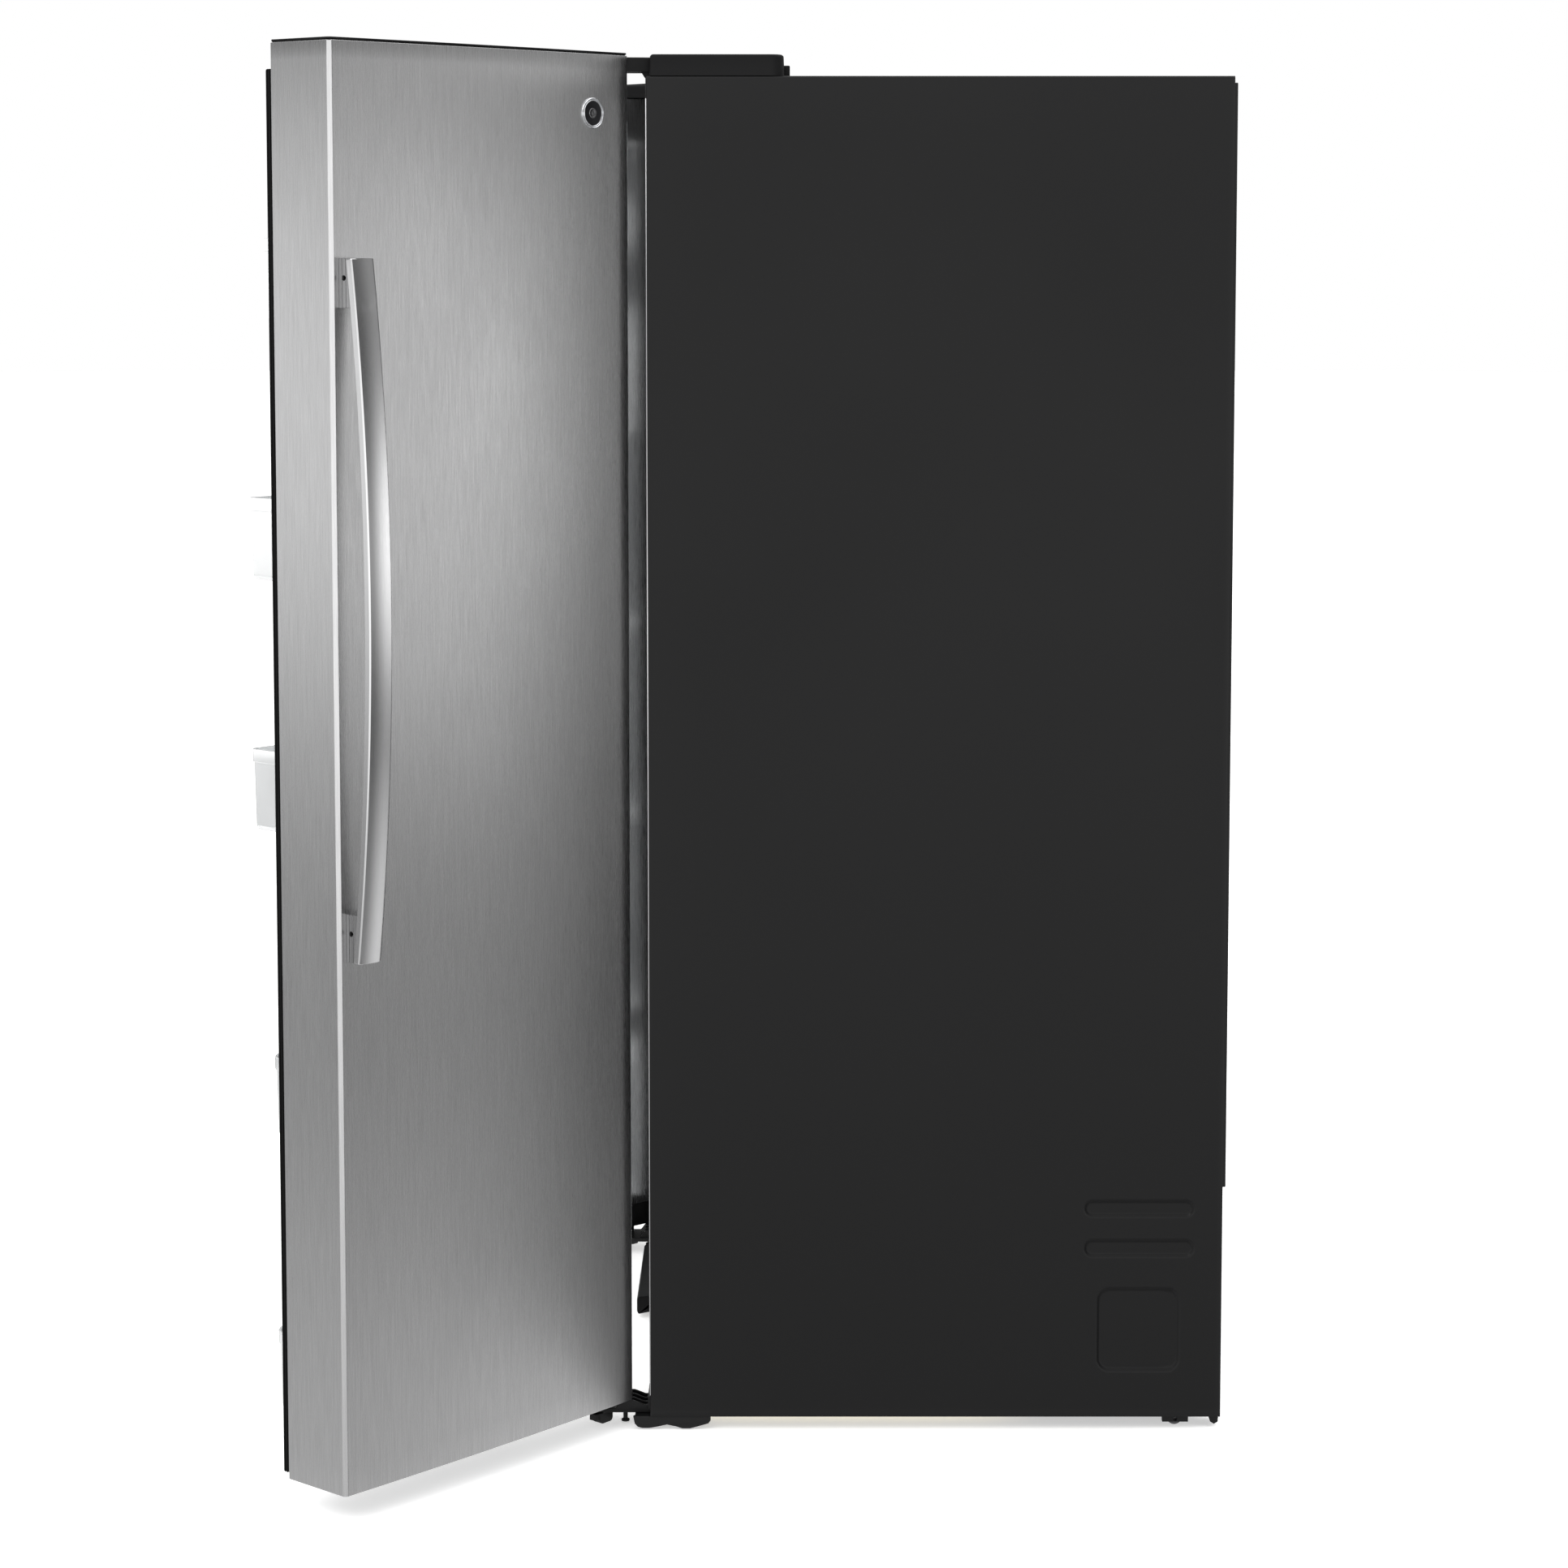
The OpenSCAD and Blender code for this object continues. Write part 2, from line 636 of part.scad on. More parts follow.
module door_badge() color("silver") hung(true)
    translate([68, -2.3, 1700]) rotate([90, 0, 0]) cylinder(r = 19.5, h = 3);

module fresh_door_bins() color("lightblue") hung(true) for (b = bins)
    bin([95, b[1] > 110 ? 434 : 440], b[0], b[1], b[2]);

lid_z = 1636;

module dairy_lid() color("lightblue") hung(true) {
    block([90, 438], [door_t + 30, door_t + 34], [lid_z - 76, lid_z + 4]);
    tube_x([66, door_t + 32, lid_z], 3, 394);
}

module freezer_door_skin() color("silver") hung(false) door_skin(freezer_w);

module freezer_door_foam() color("khaki") hung(false) door_foam(freezer_w);

module freezer_door_liner() color("white") hung(false) door_liner(freezer_w);

module freezer_door_caps() color("black") hung(false) door_caps(freezer_w);

module freezer_gasket() color("black") hung(false) gasket(freezer_w);

module freezer_handle() color("silver") hung(false) handle(freezer_w);

module freezer_door_bins() color("lightblue") hung(false) for (b = bins)
    bin([95, 334], b[0], 107, 30);

cabinet_shell();
back_panel();
insulation();
fresh_liner();
freezer_liner();
mullion_bar();
base_frame();
base_grille();
machine_cover();
compressor();
condenser();
drain_pan();
fan_motors();
water_valve();
power_inlet();
evaporator();
evaporator_cover();
air_duct();
control_housing();
lamp_lenses();
glass_shelves();
shelf_frames();
shelf_tracks();
drawer_rails();
freezer_shelves();
ice_maker();
upper_hinges();
lower_hinges();
hinge_covers();
roller_brackets();
leveling_leg_right();
leveling_leg_left();
front_roller_right();
front_roller_left();
rear_roller_right();
rear_roller_left();
condenser_fan();
evaporator_fan();
crisper_lower();
crisper_upper();
deli_drawer();
freezer_basket();
ice_bucket();
water_filter();
fresh_door_skin();
fresh_door_foam();
fresh_door_liner();
fresh_door_caps();
fresh_gasket();
fresh_handle();
door_badge();
fresh_door_bins();
dairy_lid();
freezer_door_skin();
freezer_door_foam();
freezer_door_liner();
freezer_door_caps();
freezer_gasket();
freezer_handle();
freezer_door_bins();
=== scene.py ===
"""Looks for the side by side refrigerator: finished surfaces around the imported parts.

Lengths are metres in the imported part's frame: the origin is on the floor under the cabinet's
front edge, +Y runs to the back and +Z up. Each door also has axes of its own, see Door.
"""
import json
import math

import bmesh
import bpy
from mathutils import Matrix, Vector


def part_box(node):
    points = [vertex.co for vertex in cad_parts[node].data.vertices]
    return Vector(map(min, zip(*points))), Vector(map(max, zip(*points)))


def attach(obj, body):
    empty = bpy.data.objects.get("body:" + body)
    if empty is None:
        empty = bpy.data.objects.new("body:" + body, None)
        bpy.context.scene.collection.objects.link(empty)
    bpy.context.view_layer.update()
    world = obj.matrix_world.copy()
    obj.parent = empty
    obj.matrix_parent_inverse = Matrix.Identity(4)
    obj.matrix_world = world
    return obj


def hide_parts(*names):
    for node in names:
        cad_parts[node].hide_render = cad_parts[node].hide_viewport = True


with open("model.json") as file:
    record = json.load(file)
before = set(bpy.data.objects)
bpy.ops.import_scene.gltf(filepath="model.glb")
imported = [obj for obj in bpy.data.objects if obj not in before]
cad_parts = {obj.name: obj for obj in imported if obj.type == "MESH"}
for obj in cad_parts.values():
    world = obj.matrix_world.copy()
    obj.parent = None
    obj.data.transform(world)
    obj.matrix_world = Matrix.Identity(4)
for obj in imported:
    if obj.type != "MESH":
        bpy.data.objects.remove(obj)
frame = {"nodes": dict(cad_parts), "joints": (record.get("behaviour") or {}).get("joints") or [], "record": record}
NODES = frame["nodes"]
JOINTS = {joint["name"]: joint for joint in frame["joints"]}
SLOTS = {part["node"]: part["material_slot"] for part in frame["record"]["subparts"]}
BODY_OF = {
    node: body
    for body, members in frame["record"]["behaviour"]["bodies"].items()
    for node in members
}
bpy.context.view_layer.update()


# ---------------------------------------------------------------- materials


class Shading:
    """A new material and short ways to add the nodes that it needs."""

    def __init__(self, name, **sockets):
        self.material = bpy.data.materials.new(name)
        self.material.use_nodes = True
        self.tree = self.material.node_tree
        self.shader = self.tree.nodes["Principled BSDF"]
        self.coordinates = self.add("ShaderNodeTexCoord").outputs["Object"]
        for socket, value in sockets.items():
            self.shader.inputs[socket.replace("_", " ")].default_value = value

    def add(self, kind, **values):
        node = self.tree.nodes.new(kind)
        for key, value in values.items():
            setattr(node, key, value)
        return node

    def link(self, output, target):
        self.tree.links.new(output, target)

    def stretched(self, scale):
        """Object coordinates scaled by scale."""
        mapping = self.add("ShaderNodeMapping", vector_type="TEXTURE")
        mapping.inputs["Scale"].default_value = [1 / s for s in scale]
        self.link(self.coordinates, mapping.inputs["Vector"])
        return mapping.outputs["Vector"]

    def noise(self, vector, scale=1.0, detail=3.0, rough=0.5):
        noise = self.add("ShaderNodeTexNoise")
        self.link(vector, noise.inputs["Vector"])
        noise.inputs["Scale"].default_value = scale
        noise.inputs["Detail"].default_value = detail
        noise.inputs["Roughness"].default_value = rough
        return noise.outputs["Fac"]

    def spread(self, value, low, high, start=0.3, end=0.7):
        """value's range from start to end, mapped to low..high."""
        ramp = self.add("ShaderNodeMapRange")
        self.link(value, ramp.inputs["Value"])
        for socket, number in zip(("From Min", "From Max", "To Min", "To Max"), (start, end, low, high)):
            ramp.inputs[socket].default_value = number
        return ramp.outputs["Result"]

    def blend(self, factor, first, second):
        """A colour between first and second."""
        mix = self.add("ShaderNodeMix", data_type="RGBA")
        self.link(factor, mix.inputs["Factor"])
        for socket, colour in ((mix.inputs[6], first), (mix.inputs[7], second)):
            if hasattr(colour, "is_output"):
                self.link(colour, socket)
            else:
                socket.default_value = (*colour, 1)
        return mix.outputs[2]

    def colour(self, output):
        self.link(output, self.shader.inputs["Base Color"])

    def roughness(self, output):
        self.link(output, self.shader.inputs["Roughness"])

    def bump(self, height, strength, distance=0.001):
        bump = self.add("ShaderNodeBump")
        bump.inputs["Strength"].default_value = strength
        bump.inputs["Distance"].default_value = distance
        self.link(height, bump.inputs["Height"])
        before = self.shader.inputs["Normal"].links
        if before:
            self.link(before[0].from_socket, bump.inputs["Normal"])
        self.link(bump.outputs["Normal"], self.shader.inputs["Normal"])

    def worn_edges(self):
        """How exposed an edge is: 0 on flats and 1 on sharp outer edges."""
        geometry = self.add("ShaderNodeNewGeometry")
        return self.spread(geometry.outputs["Pointiness"], 0.0, 1.0, 0.50, 0.56)


def brushed_metal(name, colour, roughness, across, strength=0.06, contrast=0.08, anisotropy=0.5):
    """Metal with fine vertical brushing; across is how many grains fit in a metre."""
    s = Shading(name, Metallic=1.0, Anisotropic=anisotropy)
    fine = s.noise(s.stretched((across, across, across / 90)), 1.0, 4.0, 0.6)
    strokes = s.noise(s.stretched((620, 620, 16)), 1.0, 3.0, 0.65)
    cloud = s.noise(s.stretched((3.5, 3.5, 2.5)), 1.0, 2.0)
    dark = [c * (1 - contrast) for c in colour]
    light = [min(c * (1 + contrast), 1) for c in colour]
    s.colour(s.blend(s.spread(strokes, 0, 1), dark, light))
    uneven = s.add("ShaderNodeMath", operation="ADD")
    s.link(s.spread(fine, roughness - 0.04, roughness + 0.05), uneven.inputs[0])
    s.link(s.spread(cloud, -0.025, 0.025), uneven.inputs[1])
    s.roughness(uneven.outputs[0])
    s.bump(fine, strength, 0.0004)
    return s.material


def painted(name, colour, roughness, peel=0.05, metallic=0.0, specular=0.5):
    """Sprayed enamel: a slight orange peel, faint clouding and paler edges."""
    s = Shading(name, Metallic=metallic, Specular_IOR_Level=specular)
    cloud = s.noise(s.stretched((2.5, 2.5, 2.5)), 1.0, 3.0)
    peel_height = s.noise(s.stretched((420, 420, 420)), 1.0, 2.0)
    base = s.blend(s.spread(cloud, 0, 1), [c * 0.92 for c in colour], [c * 1.06 for c in colour])
    s.colour(s.blend(s.worn_edges(), base, [min(c * 1.3 + 0.004, 1) for c in colour]))
    s.roughness(s.spread(cloud, roughness - 0.03, roughness + 0.04))
    s.bump(peel_height, peel, 0.0006)
    return s.material


def moulded(name, colour, roughness, grain=700, depth=0.10, **sockets):
    """Moulded plastic: a fine spark-eroded grain and paler handled edges."""
    s = Shading(name, **sockets)
    grain_height = s.noise(s.stretched((grain, grain, grain)), 1.0, 2.0)
    cloud = s.noise(s.stretched((9, 9, 9)), 1.0, 3.0)
    base = s.blend(s.spread(cloud, 0, 1), [c * 0.98 for c in colour], [min(c * 1.015, 1) for c in colour])
    s.colour(s.blend(s.worn_edges(), base, [min(c * 1.2 + 0.003, 1) for c in colour]))
    s.roughness(s.spread(cloud, roughness - 0.012, roughness + 0.015))
    s.bump(grain_height, depth, 0.0004)
    return s.material


def clear(name, colour, roughness, weight, ior=1.49):
    """Clear plastic or glass with a faint tint and handling haze."""
    s = Shading(name, Transmission_Weight=weight, IOR=ior)
    haze = s.noise(s.stretched((14, 14, 14)), 1.0, 4.0)
    s.colour(s.blend(s.spread(haze, 0, 1), colour, [min(c * 1.02, 1) for c in colour]))
    s.roughness(s.spread(haze, roughness, roughness + 0.06))
    s.bump(haze, 0.02, 0.001)
    return s.material


RUBBER_BLACK, PLASTIC_BLACK = (0.003, 0.003, 0.003), (0.0035, 0.0035, 0.0037)
# the slots' own materials, then those of single pieces
MATERIALS = {
    "stainless": brushed_metal("stainless", (0.50, 0.50, 0.503), 0.27, 2600, anisotropy=0.75),
    "handle_metal": brushed_metal("handle_metal", (0.56, 0.56, 0.565), 0.17, 3200, 0.02, 0.02, 0.3),
    "cabinet_paint": painted("cabinet_paint", (0.0028, 0.0028, 0.0030), 0.34, specular=0.20),
    "back_steel": painted("back_steel", (0.36, 0.37, 0.38), 0.42, 0.08, 0.6),
    "zinc_steel": painted("zinc_steel", (0.50, 0.51, 0.52), 0.34, 0.10, 0.9),
    "black_steel": painted("black_steel", (0.004, 0.004, 0.0042), 0.36, 0.10, specular=0.15),
    "aluminium_fin": brushed_metal("aluminium_fin", (0.78, 0.79, 0.80), 0.32, 1500),
    "badge_chrome": brushed_metal("badge_chrome", (0.72, 0.73, 0.75), 0.24, 900, 0.01),
    "black_plastic": moulded("black_plastic", PLASTIC_BLACK, 0.46, Specular_IOR_Level=0.10),
    "gasket_rubber": moulded("gasket_rubber", RUBBER_BLACK, 0.60, 500, 0.08, Specular_IOR_Level=0.08),
    "roller_plastic": moulded("roller_plastic", (0.05, 0.05, 0.052), 0.45),
    "liner_white": moulded("liner_white", (0.66, 0.67, 0.675), 0.32, 260, 0.05),
    "shelf_trim": moulded("shelf_trim", (0.52, 0.535, 0.545), 0.30, 400, 0.04),
    "filter_white": moulded("filter_white", (0.60, 0.61, 0.63), 0.40, 500, 0.06),
    "foam": moulded("foam", (0.70, 0.62, 0.36), 0.85, 180, 0.5),
    "clear_plastic": clear("clear_plastic", (0.72, 0.735, 0.74), 0.10, 0.62, 1.45),
    "shelf_glass": clear("shelf_glass", (0.86, 0.94, 0.92), 0.02, 0.95, 1.52),
    "lamp_lens": clear("lamp_lens", (0.95, 0.95, 0.93), 0.35, 0.5),
    "display": moulded("display", (0.006, 0.007, 0.009), 0.10, 200, 0.01),
    "badge_enamel": moulded("badge_enamel", (0.008, 0.008, 0.009), 0.35, 300, 0.03,
                            Specular_IOR_Level=0.15),
    "badge_centre": brushed_metal("badge_centre", (0.20, 0.20, 0.205), 0.25, 2000, 0.03),
    "handle_cast": brushed_metal("handle_cast", (0.34, 0.34, 0.343), 0.26, 2400, 0.03),
}


# ---------------------------------------------------------------- shapes

MM = 0.001


def arc(centre, radius, start, end, steps=6):
    """Points of an arc in a plane, its angles in degrees."""
    turns = [math.radians(start + (end - start) * i / steps) for i in range(steps + 1)]
    return [(centre[0] + radius * math.cos(a), centre[1] + radius * math.sin(a)) for a in turns]


def rounded_rectangle(x, y, radii, steps=6):
    """Points anticlockwise from the corner at high x and high y; one radius or four."""
    r = radii if isinstance(radii, (list, tuple)) else [radii] * 4
    corners = (
        (x[1] - r[0], y[1] - r[0]),
        (x[0] + r[1], y[1] - r[1]),
        (x[0] + r[2], y[0] + r[2]),
        (x[1] - r[3], y[0] + r[3]),
    )
    return [
        point
        for i, corner in enumerate(corners)
        for point in arc(corner, r[i], 90 * i, 90 * i + 90, steps)
    ]


def loft(rings, around=True, along=False, first_cap=False, last_cap=False):
    """A bmesh through rings of equal length, closed around, along or capped as asked."""
    work = bmesh.new()
    rows = [[work.verts.new(point) for point in ring] for ring in rings]
    pairs = list(zip(rows, rows[1:]))
    if along:
        pairs.append((rows[-1], rows[0]))
    for first, second in pairs:
        count = len(first)
        for i in range(count if around else count - 1):
            j = (i + 1) % count
            work.faces.new((first[i], first[j], second[j], second[i]))
    if first_cap:
        work.faces.new(rows[0][::-1])
    if last_cap:
        work.faces.new(rows[-1])
    return work


def joined(works):
    """Several bmeshes as one."""
    whole = bmesh.new()
    for work in works:
        mesh = bpy.data.meshes.new("joining")
        work.to_mesh(mesh)
        work.free()
        whole.from_mesh(mesh)
        bpy.data.meshes.remove(mesh)
    return whole


def block(x, y, z, edge, segments=3):
    """A box with rounded edges."""
    work = bmesh.new()
    bmesh.ops.create_cube(work, size=1)
    for vertex in work.verts:
        vertex.co = [
            (low + high) / 2 + c * (high - low) for c, (low, high) in zip(vertex.co, (x, y, z))
        ]
    bmesh.ops.bevel(
        work, geom=work.edges[:], offset=edge, segments=segments, affect="EDGES", profile=0.5,
        clamp_overlap=True,
    )
    return work


def turned(profile, centre, axis, steps=32):
    """A solid of revolution: profile is (radius, distance along axis) from centre."""
    axis = Vector(axis).normalized()
    side = axis.orthogonal().normalized()
    other = axis.cross(side)
    rings = []
    for radius, height in profile:
        ring = []
        for i in range(steps):
            a = 2 * math.pi * i / steps
            out = side * math.cos(a) + other * math.sin(a)
            ring.append(Vector(centre) + axis * height + out * radius)
        rings.append(ring)
    return loft(rings, first_cap=profile[0][0] > 0, last_cap=profile[-1][0] > 0)


def crowned(outline, z, fillet, shrink, steps=5):
    """A solid over outline(inset) from z[0] to z[1], its top edge rounded by fillet."""
    rings = [[(x, y, z[0]) for x, y in outline(0)]]
    for i in range(steps + 1):
        a = math.pi / 2 * i / steps
        height = z[1] - fillet + fillet * math.sin(a)
        inset = shrink + fillet * (1 - math.cos(a))
        rings.append([(x, y, height) for x, y in outline(inset)])
    return loft(rings, first_cap=True, last_cap=True)


# ---------------------------------------------------------------- pieces


def finish_piece(name, work, body, slot, nodes=(), material=None, smooth=35):
    """A bmesh becomes a piece: smooth over gentle angles, riding on body, standing for nodes."""
    bmesh.ops.recalc_face_normals(work, faces=work.faces)
    mesh = bpy.data.meshes.new(name)
    work.to_mesh(mesh)
    work.free()
    piece = bpy.data.objects.new(name, mesh)
    bpy.context.scene.collection.objects.link(piece)
    mesh.materials.append(material or MATERIALS[slot])
    mesh.shade_smooth()
    mesh.set_sharp_from_angle(angle=math.radians(smooth))
    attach(piece, body)
    if nodes:
        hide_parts(*nodes)
    return piece


def weighted(piece):
    """Keeps wide flats looking flat beside their small rounded edges."""
    modifier = piece.modifiers.new("flats", "WEIGHTED_NORMAL")
    modifier.keep_sharp = True
    return piece


def sheet_metal(piece, thickness):
    """Gives a surface its thickness, inwards."""
    modifier = piece.modifiers.new("sheet", "SOLIDIFY")
    modifier.thickness = thickness
    modifier.offset = -1
    return piece


def clean_copy(node):
    """A bmesh of a CAD node with its flat faces whole again."""
    work = bmesh.new()
    work.from_mesh(NODES[node].data)
    bmesh.ops.remove_doubles(work, verts=work.verts, dist=1e-5)
    bmesh.ops.dissolve_limit(
        work, angle_limit=math.radians(1), verts=work.verts, edges=work.edges,
        use_dissolve_boundaries=False,
    )
    return work


def bevel_edges(work, width, segments, chosen):
    """Rounds the chosen edges."""
    edges = [edge for edge in work.edges if len(edge.link_faces) == 2 and chosen(edge)]
    bmesh.ops.bevel(
        work, geom=edges, offset=width, segments=segments, affect="EDGES", profile=0.5,
        clamp_overlap=False,
    )


def is_sharp(edge):
    return edge.calc_face_angle(0) > math.radians(40)


def rounded(node, width, segments=2):
    """The CAD node's own shape with moulded or folded edges in place of sharp ones."""
    work = clean_copy(node)
    bevel_edges(work, width, segments, is_sharp)
    weighted(finish_piece(node + "_finished", work, BODY_OF[node], SLOTS[node], [node]))


# ---------------------------------------------------------------- cabinet

CASE_LOW, CASE_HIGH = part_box("cabinet_shell")
SHEET = 1.2 * MM
OPENING_LOW, OPENING_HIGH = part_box("fresh_liner")
BACK_PANEL_LOW = 319 * MM


def smooth_step(x):
    x = min(max(x, 0), 1)
    return x * x * (3 - 2 * x)


# the pressed panels low on each side: y from and to, z from and to, corner radius
EMBOSSES = [(0.565, 0.704, 0.285, 0.304, 0.009), (0.565, 0.704, 0.232, 0.252, 0.009),
            (0.582, 0.686, 0.080, 0.188, 0.016)]
EMBOSS_DEPTH = 2.0 * MM


def pressed(y, z):
    """How deep the side is pressed in at a point."""
    depth = 0
    for y0, y1, z0, z1, r in EMBOSSES:
        dy = max(y0 + r - y, y - y1 + r)
        dz = max(z0 + r - z, z - z1 + r)
        outside = math.hypot(max(dy, 0), max(dz, 0)) + min(max(dy, dz), 0) - r
        depth = max(depth, smooth_step(0.5 - outside / (5 * MM)))
    return depth * EMBOSS_DEPTH


def fine_steps(start, end, coarse, spots, reach, fine):
    """Values from start to end, closely spaced within reach of the spots."""
    values, at = [start], start
    while at < end - 1e-6:
        near = any(abs(at - spot) < reach for spot in spots)
        at = min(at + (fine if near else coarse), end)
        values.append(at)
    return values


def turned_in(x, z, nx, nz, reach):
    """Where the case's turned-in edge ends: reach inwards, mitred at the top corners."""
    mitre_x, mitre_z = CASE_HIGH.x - reach[0], CASE_HIGH.z - reach[1]
    if abs(nx) > 0.99:
        return x - nx * reach[0], min(z, mitre_z)
    return math.copysign(min(abs(x), mitre_x), x), mitre_z


def cabinet_wrap():
    """The folded sides and top, turned in behind the back panel and round the doors' frame."""
    bend, roll = 4 * MM, 2.5 * MM
    coarse, reach, fine = 6 * MM, 12 * MM, 1.2 * MM
    embosses_high, embosses_front, plain_step = 0.33, 0.54, 12
    y_spots = [value for e in EMBOSSES for value in e[:2]]
    z_spots = [value for e in EMBOSSES for value in e[2:4]]
    bend_low = CASE_HIGH.z - bend
    levels = [
        z
        for i, z in enumerate(fine_steps(CASE_LOW.z, bend_low, coarse, z_spots, reach, fine))
        if z < embosses_high or (i % plain_step == 0 and z < bend_low)
    ]
    depths = [
        y
        for i, y in enumerate(fine_steps(roll, CASE_HIGH.y, coarse, y_spots, reach, fine))
        if y > embosses_front or i % plain_step == 0
    ]
    right, top = CASE_HIGH.x, CASE_HIGH.z
    corner = arc((right - bend, top - bend), bend, 0, 90, 5)
    path = [((right, z), (1, 0)) for z in levels]
    path += [((x, z), ((x - right + bend) / bend, (z - top + bend) / bend)) for x, z in corner]
    path += [((-x, z), (-nx, nz)) for (x, z), (nx, nz) in reversed(path)]
    frame_reach = (right - OPENING_HIGH.x, top - OPENING_HIGH.z)
    rear_reach = (16 * MM, 12 * MM)
    rings = []
    for (x, z), (nx, nz) in path:
        rear_x, rear_z = turned_in(x, z, nx, nz, rear_reach) if z > BACK_PANEL_LOW else (x, z)
        ring = [(rear_x, depths[-1], rear_z)]
        for y in reversed(depths):
            inward = pressed(y, z) if abs(nx) > 0.99 else 0
            ring.append((x - nx * inward, y, z - nz * inward))
        for inset, y in arc((roll, roll), roll, 180, 270, 5)[1:]:
            ring.append((x - nx * inset, y, z - nz * inset))
        inner_x, inner_z = turned_in(x, z, nx, nz, frame_reach)
        ring += [(inner_x, 0, inner_z), (inner_x, SHEET, inner_z)]
        rings.append(ring)
    wrap = loft(rings, around=False)
    bmesh.ops.remove_doubles(wrap, verts=wrap.verts, dist=1e-6)
    piece = finish_piece("cabinet_wrap", wrap, "cabinet", "cabinet_paint", ["cabinet_shell"])
    weighted(sheet_metal(piece, SHEET))


def front_rails():
    """The frame's lower rail, and a bright metal bead down each front corner: a light edge that also paints the
    edge's highlight, stopped at 1.72 m so that the hinge covers' shadow above it is painted shade.
    """
    inner, rail_low = OPENING_HIGH.x, 42 * MM
    rail = block((-inner, inner), (0, SHEET), (rail_low, OPENING_LOW.z), 0.3 * MM)
    finish_piece("front_lower_rail", rail, "cabinet", "cabinet_paint")
    # the bead's top at 1.72 m is where the hinge covers' shadow begins: painted shade above it
    bead_low, bead_top_below_shadow, radius, tip, sides = 46 * MM, 1.720, 0.8 * MM, 0.3 * MM, 16
    for side, name in ((1, "right"), (-1, "left")):
        x = side * (CASE_HIGH.x - radius)
        rings = []
        for z, size in ((bead_low, tip), (bead_low + 1 * MM, radius), (bead_top_below_shadow - 1 * MM, radius),
                        (bead_top_below_shadow, tip)):
            circle = arc((0, 0), size, 0, 360 - 360 / sides, sides - 1)
            rings.append([(x + a, 0.6 * MM + b, z) for a, b in circle])
        bead = loft(rings, first_cap=True, last_cap=True)
        finish_piece("front_highlight_bead_" + name, bead, "cabinet", "handle_metal")


def hinge_cover(side):
    """A moulded cover over the upper hinge: its body on the cabinet's top and the arm's hood."""
    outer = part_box("hinge_covers")[1].x
    inner, arm_outer = 386 * MM, 431 * MM
    front, back, corner, back_corner = 5 * MM, 175 * MM, 18 * MM, 3 * MM
    top = CASE_HIGH.z
    hood_low, hood_high, hood_back = top + 6 * MM, top + 24 * MM, 30 * MM
    axis_x, axis_y = JOINTS["fresh_door_hinge"]["pos_m"][:2]

    def body_outline(g):
        radii = [corner - g] * 2 + [max(2 * MM, back_corner - g)] * 2
        return rounded_rectangle((inner + g, outer - g), (front + g, back - g), radii)

    def hood_outline(g):
        r, bevel, reach = 15 * MM - g, 4 * MM, arm_outer - g + 13 * MM
        nose = [(min(x, reach), y) for x, y in arc((axis_x, axis_y), r, 0, -90, 8)]
        return [(arm_outer - g, hood_back)] + nose + [
            (inner + g + bevel, axis_y - r), (inner + g, axis_y - r + bevel), (inner + g, hood_back)]

    body = crowned(body_outline, (top + 0.3 * MM, top + 27.2 * MM), 4 * MM, 0.8 * MM)
    hood = crowned(hood_outline, (hood_low, hood_high), 3 * MM, 0.3 * MM)
    tab = block((400 * MM, 426 * MM), (168 * MM, 182 * MM), (top + 0.2 * MM, top + 14 * MM), 1.5 * MM)
    # the apron under the hood, from behind the case's front edge down to a point before it
    apron_side = ((7, 9), (7, 0.4), (-0.3, 0.4), (-0.3, -3), (-2.6, 0), (-5, 4), (-9, 9))
    apron = loft([[(x, y * MM, top + z * MM) for y, z in apron_side] for x in (inner, arm_outer)],
                 first_cap=True, last_cap=True)
    work = joined([body, hood, tab, apron])
    if side < 0:
        for vertex in work.verts:
            vertex.co.x = -vertex.co.x
    return work


def hinge_covers():
    works = [hinge_cover(side) for side in (1, -1)]
    weighted(finish_piece("hinge_covers_finished", joined(works), "cabinet", "black_plastic",
                          ["hinge_covers"]))


def smooth_liner(node, radius=16 * MM):
    """A compartment liner with the round inner corners of a vacuum-formed tub."""
    low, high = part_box(node)
    wall = 2 * MM

    def inner(edge):
        ends = [vertex.co for vertex in edge.verts]
        at_side = all(
            min(abs(p.x - low.x - wall), abs(p.x - high.x + wall)) < 0.1 * MM for p in ends
        )
        return at_side and not all(p.y < 1 * MM for p in ends) and is_sharp(edge)

    work = clean_copy(node)
    bevel_edges(work, radius, 5, inner)
    finish_piece(node + "_finished", work, "cabinet", "liner_white", [node], smooth=30)


def socket_screw(centre, axis, radius):
    """A pan head screw with a round socket."""
    profile = ((1, 0), (1, 0.3), (0.8, 0.62), (0.45, 0.75), (0.34, 0.72), (0.30, 0.36), (0.04, 0.30))
    return turned([(radius * r, radius * d) for r, d in profile], centre, axis, 20)


def fasteners():
    """Screws round the back panel and the machine cover."""
    low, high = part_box("back_panel")
    back, margin, rows, columns = high.y - 1.6 * MM, 12 * MM, 7, 6
    first, last = BACK_PANEL_LOW + 30 * MM, high.z - 30 * MM
    left, right = low.x + 20 * MM, high.x - 20 * MM
    places = []
    for i in range(rows):
        z = first + i * (last - first) / (rows - 1)
        places += [(low.x + margin, back, z), (high.x - margin, back, z)]
    for i in range(columns):
        places.append((left + i * (right - left) / (columns - 1), back, high.z - margin))
    screws = [socket_screw(place, (0, 1, 0), 2.1 * MM) for place in places]
    cover_low, cover_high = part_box("machine_cover")
    for x in (cover_low.x + margin, -0.15, 0.15, cover_high.x - margin):
        for z in (cover_low.z + margin, cover_high.z - margin):
            screws.append(socket_screw((x, cover_high.y, z), (0, 1, 0), 3.2 * MM))
    finish_piece("panel_screws", joined(screws), "cabinet", "zinc_steel", smooth=30)


